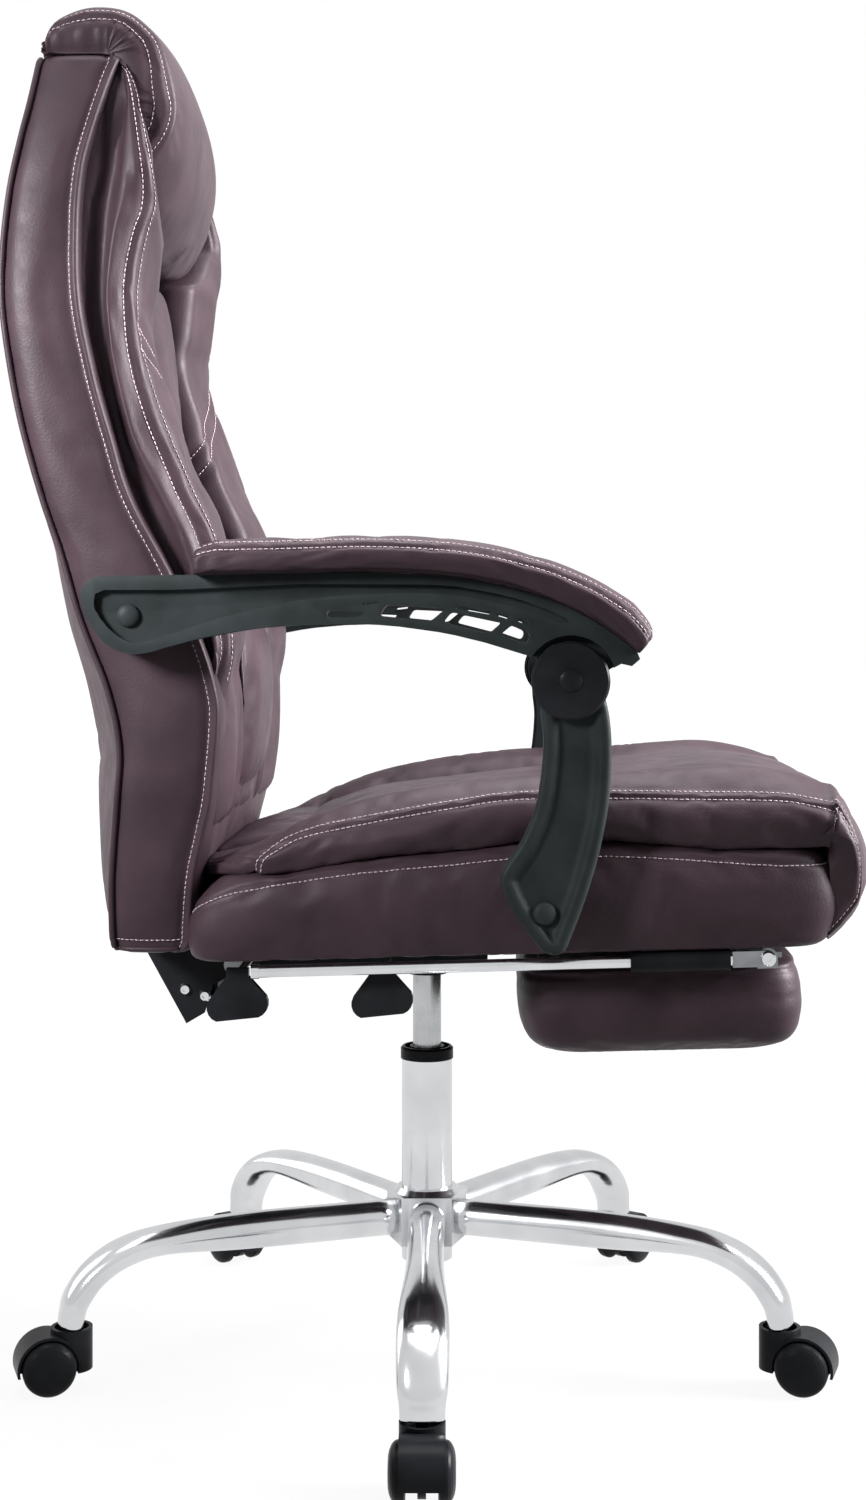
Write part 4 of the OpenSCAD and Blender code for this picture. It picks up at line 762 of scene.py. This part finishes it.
def lowerCushion():
    # boxed lower cushion: rings in plan, from the underside up the boxed wall, over the seam and in to
    # the top
    count = 300
    mid, half = (seat["front"] + seat["rear"]) / 2, (seat["front"] - seat["rear"]) / 2
    rings = []
    for inset, share in seat["boxProfile"]:
        x, y = superEllipse(half - inset, seat["halfWidth"] - inset, mid, count, seat["blunt"])
        x = x + 34 * max(0, share - 1) * fadeIn(-x, -seat["rear"] - 70, 70)
        x = x + 8 * fadeIn(x, 290, 60) * math.sin(math.pi * min(1, share))
        low, seam, top = seatBottom(x), lineAt(seat["seam"], x), rimTop(x)
        z = low + (seam - low) * share if share <= 1 else seam + (top - seam) * (share - 1)
        rings.append(stack(x, y, z))
    grid = threadRings(np.stack(rings, 1), 4).transpose(1, 0, 2)
    seamRow = 34
    grid = pressRows(grid, seamRow, 2.0, 3.5)
    grid = sewPiece("seatLowerCushion", grid, leather, "seat", "seat_base_cushion", (), [8, seamRow],
                    growth=0.004, pressure=1.0, cap=4)
    sewStitches("seatSeamStitches", [(grid, np.full(count, seamRow - 1.4), np.arange(count))], "seat")


def upperCushion():
    # upper cushion: sections stand on the lower one, then fan round its front edge to make the roll
    x = samples([-190, -150, 364.5], [10, 84])
    phi = np.radians(np.linspace(90, -89, 44)[1:])
    flat, rows = len(x), len(x) + len(phi)
    ox = np.concatenate([x, np.full(len(phi), 365.0)])
    oz = boxTop(ox) + 1
    dx, dz = np.concatenate([0 * x, np.cos(phi)]), np.concatenate([0 * x + 1, np.sin(phi)])
    reach, down = np.degrees(phi), np.clip(-np.sin(phi), 0, 1)
    centre = np.concatenate([lineAt(seat["crown"], x) - oz[:flat], lineAt(seat["roll"], reach)])
    wing = np.concatenate([lineAt(seat["wing"], x), 3 * np.clip(np.sin(phi), 0, 1)])
    stitchLine = np.minimum(lineAt(seat["stitch"], x) - oz[:flat], centre[:flat] + wing[:flat] - 5)
    stitchLine = np.maximum(np.concatenate([stitchLine, centre[flat:] - 13]), 0.35 * centre)
    narrow = np.concatenate([42 * fadeIn(-x, 138, 52) ** 1.2 + 2 * fadeIn(x, 300, 60), 2 + 10 * down ** 2])
    sew = np.clip(wing / 8, 0.35, 1)
    seamAt = lineAt(seat["seam"], x)
    low = []
    for share in (0.95, 0.8):
        foot = seamAt + share * (rimTop(x) - seamAt) - oz[:flat] - 1.5
        low.append(np.concatenate([foot, foot[-1] * (1 - down)]))
    half = [stack(241 - narrow, low[0]), stack(248 - narrow, low[1]),
            stack(253 - narrow, 0.5 * stitchLine), stack(248 - narrow, stitchLine),
            stack(241 - narrow, stitchLine + np.minimum(7, 0.5 * (centre + wing - stitchLine))),
            stack(214 - narrow, centre + wing), stack(186 - 0.6 * narrow, centre + wing * 0.75 - 2 * sew),
            stack(163 - 0.4 * narrow, centre - 3 * sew), stack(138 - 0.3 * narrow, centre + 1),
            stack(80 + 0 * ox, centre + 2), stack(0 * ox, centre + 2)]
    halfRing = threadRings(np.stack(half, 1), 6)
    ring = np.concatenate([halfRing * [-1, 1], halfRing[:, -2::-1]], 1)
    y, h = ring[..., 0], ring[..., 1]
    last = ring.shape[1] - 1
    bend = np.concatenate([0 * x, np.interp(-reach, [-90, -40, 10, 31, 46, 56, 65, 76, 90],
                                            [0.44, 0.44, 0.47, 0.5, 0.53, 0.57, 0.7, 0.88, 0.97])])
    aside = np.abs(y)
    pull = 1.25 * (aside / 200) ** 2 / (aside / 200 + 0.25)
    bow = np.maximum(0.04, 1 - bend[:, None] * np.minimum(1.08, pull))
    below = np.concatenate([0 * x, down])[:, None]
    tuck = 18 * fadeIn(aside, 215, 14) * np.clip(1 - h / 22, 0, 1) * dx[:, None] ** 0.5
    tuck = np.maximum(tuck, 4 * fadeIn(aside, 200, 30) * below ** 2)
    grid = stack(ox[:, None] - tuck + dx[:, None] * h * bow, y, oz[:, None] + dz[:, None] * h)
    creaseAt, stitchAt = 42, (18, 24)  # columns of the crease beside a wing and of the stitches on its edge
    sewn = [*stitchAt, creaseAt, last - creaseAt, *(last - c for c in stitchAt[::-1])]
    for c in sewn:
        deep = c in (creaseAt, last - creaseAt)
        grid = pressColumns(grid, c, 4.5 if deep else 1.4, 9 if deep else 3)
    edge = np.minimum(np.arange(last + 1), last - np.arange(last + 1))
    inside, outside = fadeIn(edge, 26, 10), fadeIn(-edge, -23, 6)
    rearSeam, frontSeam = int(np.searchsorted(x, -122)), flat + 6
    grid = pressRows(grid, rearSeam, 3.5 * inside, 7)
    grid = pressRows(grid, frontSeam, 2.2 * inside, 5)
    grid = pressRows(grid, flat - 1, 3.5 * outside, 5)
    wingEnd = float(np.interp(-144, x, np.arange(flat)))
    grid = pressRows(grid, wingEnd, 4 * outside, 5)
    grid = sewPiece("seatUpperCushion", grid, leather, "seat", "seat_top_cushion", sewn, [rearSeam, frontSeam],
                    growth=0.007, pressure=1.6, cap=6)
    lines = []
    quarter = np.linspace(0, np.pi / 2, 14)
    for c, start in zip(stitchAt, (wingEnd + 1.2, wingEnd + 0.2)):
        r = np.concatenate([start + (wingEnd + 6.2 - start) * (1 - np.cos(quarter)),
                            np.arange(wingEnd + 7, rows - 2)])
        column = np.concatenate([8 + (c - 8) * np.sin(quarter), np.full(len(r) - len(quarter), c)])
        lines += [(grid, r, column), (grid, r, last - column)]
    sewStitches("seatUpperStitches", lines, "seat")


lowerCushion()
upperCushion()
say("seat made")

# Footrest and arm pads

footrest = {"pivot": (307, 425.3), "length": 258, "rearReach": 218, "halfWidth": 205, "thick": 86}


def footrestPad():
    # boxed footrest: rings in plan along the rails' tilt, with a sewn seam above and below the wall
    t, count = footrest["thick"], 260
    insets = [60, 28, 12, 4, 0.8, -0.5, 0, 0.5, 3, 9, 30]
    drops = [-t + 4, -t + 5, -t + 10, -t + 20, -t * 0.62, -t * 0.5, -t * 0.38, -24, -9, -2, -0.5]
    mid = footrest["length"] / 2 - footrest["rearReach"]
    rings = []
    for inset, drop in zip(insets, drops):
        x, y = superEllipse(footrest["length"] / 2 - inset, footrest["halfWidth"] - inset, mid, count, 0.24)
        rings.append(np.stack([x, y, np.full(count, -9.5 + drop)], 1))
    grid = threadRings(np.stack(rings, 1), 5).transpose(1, 0, 2)
    a = math.radians(seat["tilt"])
    px, pz = footrest["pivot"]
    grid = np.stack([px + grid[..., 0] * math.cos(a) - grid[..., 2] * math.sin(a), grid[..., 1],
                     pz + grid[..., 0] * math.sin(a) + grid[..., 2] * math.cos(a)], -1)
    grid = pressRows(grid, 40.0, 1.5, 3)
    sewPiece("footrestPad", grid, leather, "footrest", "footrest_pad", (), [6, 40], growth=0.003, pressure=0.9,
             cap=4)


armPadLook = {
    "offset": 292, "halfWidth": 32, "thick": 30, "sewn": [22, 29, 51, 58],
    "line": [[-186, 759], [-107, 760.5], [-43, 762], [12, 760], [54, 755], [96, 745], [124, 735], [150, 722],
             [175, 705.5], [190, 693]],
    "profile": [[0.6, 0], [0.86, 0.02], [0.97, 0.14], [1.0, 0.38], [0.98, 0.6], [0.9, 0.8], [0.66, 0.94],
                [0.3, 1.0], [0, 1.01]]}


def armPad(side, name, node, body):
    # sections square to the arm's top edge: a flat seat, drawn-in sides and a crown sewn twice along
    # each edge
    look = armPadLook
    p = evenly(smoothPath(look["line"], 10), 4.5)
    t = unit(np.gradient(p, axis=0))
    n = np.stack([-t[:, 1], t[:, 0]], 1)
    u = np.linspace(0, 1, len(p))
    ends = np.minimum(np.sqrt(fadeIn(u, 0, 0.05)) * 0.3 + 0.7, np.sqrt(fadeIn(-u, -1, 0.07)) * 0.4 + 0.6)
    thick, half = look["thick"] * ends, look["halfWidth"] * (0.86 + 0.14 * ends)
    profile = np.array(look["profile"] + [[-a, b] for a, b in look["profile"][-2::-1]])
    ring = threadRings(stack(half[:, None] * profile[:, 0], thick[:, None] * profile[:, 1] + 0.5), 5)
    grid = stack(p[:, None, 0] + n[:, None, 0] * ring[..., 1], side * look["offset"] + ring[..., 0],
                 p[:, None, 1] + n[:, None, 1] * ring[..., 1])
    for c in look["sewn"]:
        grid = pressColumns(grid, c, 0.9, 2.2)
    grid = sewPiece(name, grid, leatherTight, body, node, look["sewn"], growth=0.005, pressure=1.0, cap=2)
    rows = np.arange(1, len(p) - 1)
    sewStitches(name + "Stitches", [(grid, rows, c) for c in look["sewn"]], body)


footrestPad()
armPad(-1, "armPadRight", "arm_pad_right", "arm_right")
armPad(1, "armPadLeft", "arm_pad_left", "arm_left")
say("footrest and arm pads made")

# Hard pieces that need a finer surface than the frame's

# section is [width, height, bluntness] at each point of the arm's path
starBase = {
    "arms": 5, "radius": 350, "turn": 1.4, "hubFlat": 34.3, "armZ": 134.5, "tipZ": 60, "wall": 2, "lip": 0.9,
    "section": [[35, 35, 1], [35, 35, 1], [41, 27, 0.95], [45, 25, 0.85], [45, 25, 0.85], [43, 25, 0.85],
                [39, 24, 0.85], [38, 24, 0.85]]}


def starArms():
    # five bent tubes: a rounded section carried along the arm, flattened at the bend, open at the tip
    r, z = starBase["radius"], starBase["armZ"]
    path = smoothPath([[starBase["hubFlat"], z], [r - 170, z - 1], [r - 88, z - 3], [r - 48, z - 12],
                       [r - 21, z - 29], [r - 5, z - 50], [r - 0.5, z - 64], [r + 1, starBase["tipZ"]]], 9)
    size = smoothPath(starBase["section"], 9)
    t = unit(np.gradient(path, axis=0))
    a = np.linspace(0, 2 * np.pi, 40, endpoint=False)

    def shell(shrink):
        # the section's sine and cosine to its bluntness, standing square to the path
        up = (size[:, 1:2] / 2 - shrink) * np.sign(np.sin(a)) * np.abs(np.sin(a)) ** size[:, 2:]
        out = (size[:, :1] / 2 - shrink) * np.sign(np.cos(a)) * np.abs(np.cos(a)) ** size[:, 2:]
        return stack(path[:, :1] - t[:, 1:] * up, out, path[:, 1:] + t[:, :1] * up)

    inner = shell(starBase["wall"])[::-1]
    lip = shell(starBase["lip"])[-1:] - [0, 0, starBase["lip"]]
    tube = np.concatenate([shell(0), lip, inner[:len(inner) // 3]], 0)
    points, faces = [], []
    for k in range(starBase["arms"]):
        turn = math.radians(-90 + 360 / starBase["arms"] * k + starBase["turn"])
        c, s = math.cos(turn), math.sin(turn)
        x, y, z = tube.transpose(2, 0, 1)
        spun = withEnds(stack(x * c - y * s, x * s + y * c, z))
        points.append(spun)
        faces += [[k * len(spun) + v for v in f] for f in closedFaces(*tube.shape[:2])]
    makeMesh("starArms", np.vstack(points), faces, chrome, "base", "chromed_steel", ["star_arms"])


# bevel is the widest rounding in metres; an edge takes a share of it
armFrame = {"recessFloor": 291, "bevel": 0.003, "edgeShare": 0.4, "recessShare": 1.0, "foldDegrees": 28}


def softenedArm(name, node, body):
    # the CAD frame again with its edges rounded, as the mould leaves them; the recess is rounded most
    shape = bmesh.new()
    shape.from_mesh(nodes[node].data)
    bmesh.ops.remove_doubles(shape, verts=shape.verts, dist=2e-6)
    bmesh.ops.dissolve_limit(shape, angle_limit=math.radians(2), verts=shape.verts, edges=shape.edges)
    weight = shape.edges.layers.float.new("bevel_weight_edge")
    wall = set()
    for edge in shape.edges:
        a, b = (abs(v.co.y) * 1000 for v in edge.verts)
        if abs(min(a, b) - armFrame["recessFloor"]) < 0.2 and abs(a - b) > 3:
            wall.update(edge.verts)
    for edge in shape.edges:
        if edge.is_manifold and edge.calc_face_angle() > math.radians(armFrame["foldDegrees"]):
            inRecess = all(v in wall for v in edge.verts)
            edge[weight] = armFrame["recessShare" if inRecess else "edgeShare"]
    mesh = bpy.data.meshes.new(name)
    shape.to_mesh(mesh)
    shape.free()
    piece = addPiece(name, mesh, armNylon, body, [node])
    bevel = piece.modifiers.new("edges", "BEVEL")
    bevel.width, bevel.segments, bevel.limit_method = armFrame["bevel"], 4, "WEIGHT"
    bevel.harden_normals = True


# left and right are the post's two edges seen from the side, as [x, height]; inner, outer and lap are
# measured from the chair's middle plane
post = {
    "left": [[108, 656], [108, 640], [110, 613], [105, 568], [93, 535], [77, 510], [73, 499], [76, 488],
             [81, 477], [96, 455], [108, 440], [113, 436.5], [118, 435]],
    "right": [[162.5, 656], [166.2, 638], [168, 612], [166, 568], [158, 525], [150.5, 498], [144, 478],
              [138, 462], [132, 447], [130, 442], [127, 438], [123, 435.8], [119, 434.9]],
    "inner": 268, "outer": 296, "recess": 7, "disc": (133, 669.5), "discRadius": 32.2, "discBore": 7.1,
    "lap": 283.4, "clear": 35.8, "round": 1}


def postPiece(side, name, node, body):
    # a blade drawn between its two edges; its outer face sinks by a smooth step of the distance from
    # the edge, which leaves a rounded rim. Its top laps the arm's lug and runs into the hinge disc.
    left, right = smoothPath(post["left"], 9), smoothPath(post["right"], 9)
    centre = np.array(post["disc"])
    half = [0, 0.012, 0.03, 0.055, 0.085, 0.12, 0.16, 0.2, 0.25, 0.3, 0.36, 0.43, 0.5]
    u = np.array(half + [1 - v for v in half[-2::-1]])[:, None]
    flat = left[:, None] * (1 - u) + right[:, None] * u
    outline = np.vstack([left, right[::-1]])
    gap = np.linalg.norm(flat[:, :, None] - outline[None, None], axis=-1).min(-1)
    height = post["outer"] - post["recess"] * smoothStep(fadeIn(gap, 8, 9))
    height = height - 3 * np.maximum(0, 1 - gap / 4) ** 2
    height[:, [0, -1]] = post["outer"] - 3.4
    near = np.linalg.norm(flat - centre, axis=-1) < post["clear"]
    deep = np.where(near, post["lap"], post["inner"] + 2 * np.maximum(0, 1 - gap / 2) ** 2)
    grid = np.concatenate([stack(flat[..., 0], height, flat[..., 1]),
                           stack(flat[..., 0], deep, flat[..., 1])[:, ::-1]], 1)
    grid[..., 1] *= side
    points = withEnds(grid)
    a = np.linspace(0, 2 * np.pi, 64, endpoint=False)
    bore, radius, edge = post["discBore"], post["discRadius"], post["round"]
    rim = [(bore, post["lap"]), (radius - edge, post["lap"]), (radius, post["lap"] + edge),
           (radius, post["outer"] - edge), (radius - edge, post["outer"]), (bore, post["outer"])]
    r, y = np.array(rim + rim[:1]).T[..., None]
    disc = stack(centre[0] + r * np.cos(a), side * y, centre[1] + r * np.sin(a))
    faces = closedFaces(*grid.shape[:2]) + (np.array(ringFaces(*disc.shape[:2])) + len(points)).tolist()
    makeMesh(name, np.vstack([points, disc.reshape(-1, 3)]), faces, armNylon, body, "moulded_arm", [node])


starArms()
for side, way in (("right", -1), ("left", 1)):
    cap = side.capitalize()
    softenedArm("armFrame" + cap, "arm_frame_" + side, "arm_" + side)
    postPiece(way, "post" + cap, "post_" + side, "post_" + side)
say("hard pieces made")

# Floor, light and camera


def studioPaper(name):
    # seamless white paper: seen straight on it is nearly burnt out, but it still takes the shadow
    mat, tree, coords = startMaterial(name)
    fibre = tintBetween(tree, noiseAt(tree, coords, 40, 3), "#8e8e8e", "#9a9a9a")
    sheet = addNode(tree, "ShaderNodeBsdfPrincipled", {"Base Color": fibre, "Roughness": 0.85})
    ray = addNode(tree, "ShaderNodeLightPath")
    away = addNode(tree, "ShaderNodeVectorMath", {0: coords}, operation="LENGTH").outputs["Value"]
    far = addNode(tree, "ShaderNodeMapRange", {"Value": away, "From Min": 0.9, "From Max": 3.5, "To Min": 0.84,
                                               "To Max": 1.0}).outputs["Result"]
    seen = addNode(tree, "ShaderNodeMath", {0: ray.outputs["Is Glossy Ray"], 1: 0.95}, operation="MULTIPLY")
    seen = addNode(tree, "ShaderNodeMath", {0: ray.outputs["Is Camera Ray"], 1: far, 2: seen.outputs[0]},
                   operation="MULTIPLY_ADD")
    bright = addNode(tree, "ShaderNodeMath", {0: ray.outputs["Is Camera Ray"], 1: 0.2, 2: 0.9},
                     operation="MULTIPLY_ADD")
    glow = addNode(tree, "ShaderNodeEmission", {"Color": (1, 1, 1, 1), "Strength": bright.outputs[0]})
    mixed = addNode(tree, "ShaderNodeMixShader", {0: seen.outputs[0], 1: sheet.outputs[0],
                                                  2: glow.outputs[0]})
    addNode(tree, "ShaderNodeOutputMaterial", {"Surface": mixed.outputs[0]})
    return mat


floorHalf = 30
floorMesh = bpy.data.meshes.new("studioFloor")
corners = [(x * floorHalf, y * floorHalf, 0) for x, y in ((-1, -1), (1, -1), (1, 1), (-1, 1))]
floorMesh.from_pydata(corners, [], [(0, 1, 2, 3)])
floor = bpy.data.objects.new("studioFloor", floorMesh)
scene.collection.objects.link(floor)
floorMesh.materials.append(studioPaper("white studio paper"))

world = bpy.data.worlds.new("studio")
scene.world = world
world.use_nodes = True
tree = world.node_tree
tree.nodes.clear()
lightPath = addNode(tree, "ShaderNodeLightPath")
level = addNode(tree, "ShaderNodeMath", {0: lightPath.outputs["Is Glossy Ray"], 1: 0.72, 2: 0.06},
                operation="MULTIPLY_ADD")
level = addNode(tree, "ShaderNodeMath", {0: lightPath.outputs["Is Camera Ray"], 1: 0.94, 2: level.outputs[0]},
                operation="MULTIPLY_ADD")
paper = addNode(tree, "ShaderNodeBackground", {"Color": (1, 1, 1, 1), "Strength": level.outputs[0]})
addNode(tree, "ShaderNodeOutputWorld", {"Surface": paper.outputs[0]})

# each lamp's place, what it points at, size, beam in degrees and power in watts
lamps = {"key": ((-1.5, -1.5, 1.5), (-0.55, -0.25, 0.9), (0.6, 0.6), 36, 8.4),
         "front": ((2.4, -0.05, 1.75), (-0.15, 0, 1.05), (1.3, 1.8), 80, 92),
         "top": ((0.2, 0.3, 3.0), (0.05, 0, 0.65), (2.6, 2.6), 110, 66),
         "rear": ((-2.4, 1.0, 1.4), (0, 0, 0.8), (1.2, 1.8), 120, 6)}
for name, (place, aim, size, beam, power) in lamps.items():
    lamp = bpy.data.lights.new(name, "AREA")
    lamp.shape, lamp.energy, lamp.size, lamp.size_y = "RECTANGLE", power, *size
    lamp.spread = math.radians(beam)
    holder = bpy.data.objects.new(name, lamp)
    holder.location = place
    holder.rotation_euler = (Vector(aim) - Vector(place)).to_track_quat("-Z", "Y").to_euler()
    scene.collection.objects.link(holder)

# the shift is the photograph's own: its middle lies beside the camera's line by so many of its pixels
view = {"place": (0.076, -2.131, 0.717), "turn": 1.43, "lens": 51.66, "pixelsAside": 17, "pixelsHigh": 1500,
        "shiftDown": 0.0833}
camera = bpy.data.cameras.new("photoCamera")
camera.lens, camera.sensor_width = view["lens"], 36
camera.shift_x, camera.shift_y = -view["pixelsAside"] / view["pixelsHigh"], -view["shiftDown"]
holder = bpy.data.objects.new("photoCamera", camera)
holder.location = view["place"]
holder.rotation_euler = (math.radians(90), 0, math.radians(view["turn"]))
scene.collection.objects.link(holder)
scene.camera = holder
scene.view_settings.view_transform = "Standard"

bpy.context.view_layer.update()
say("scene ready")
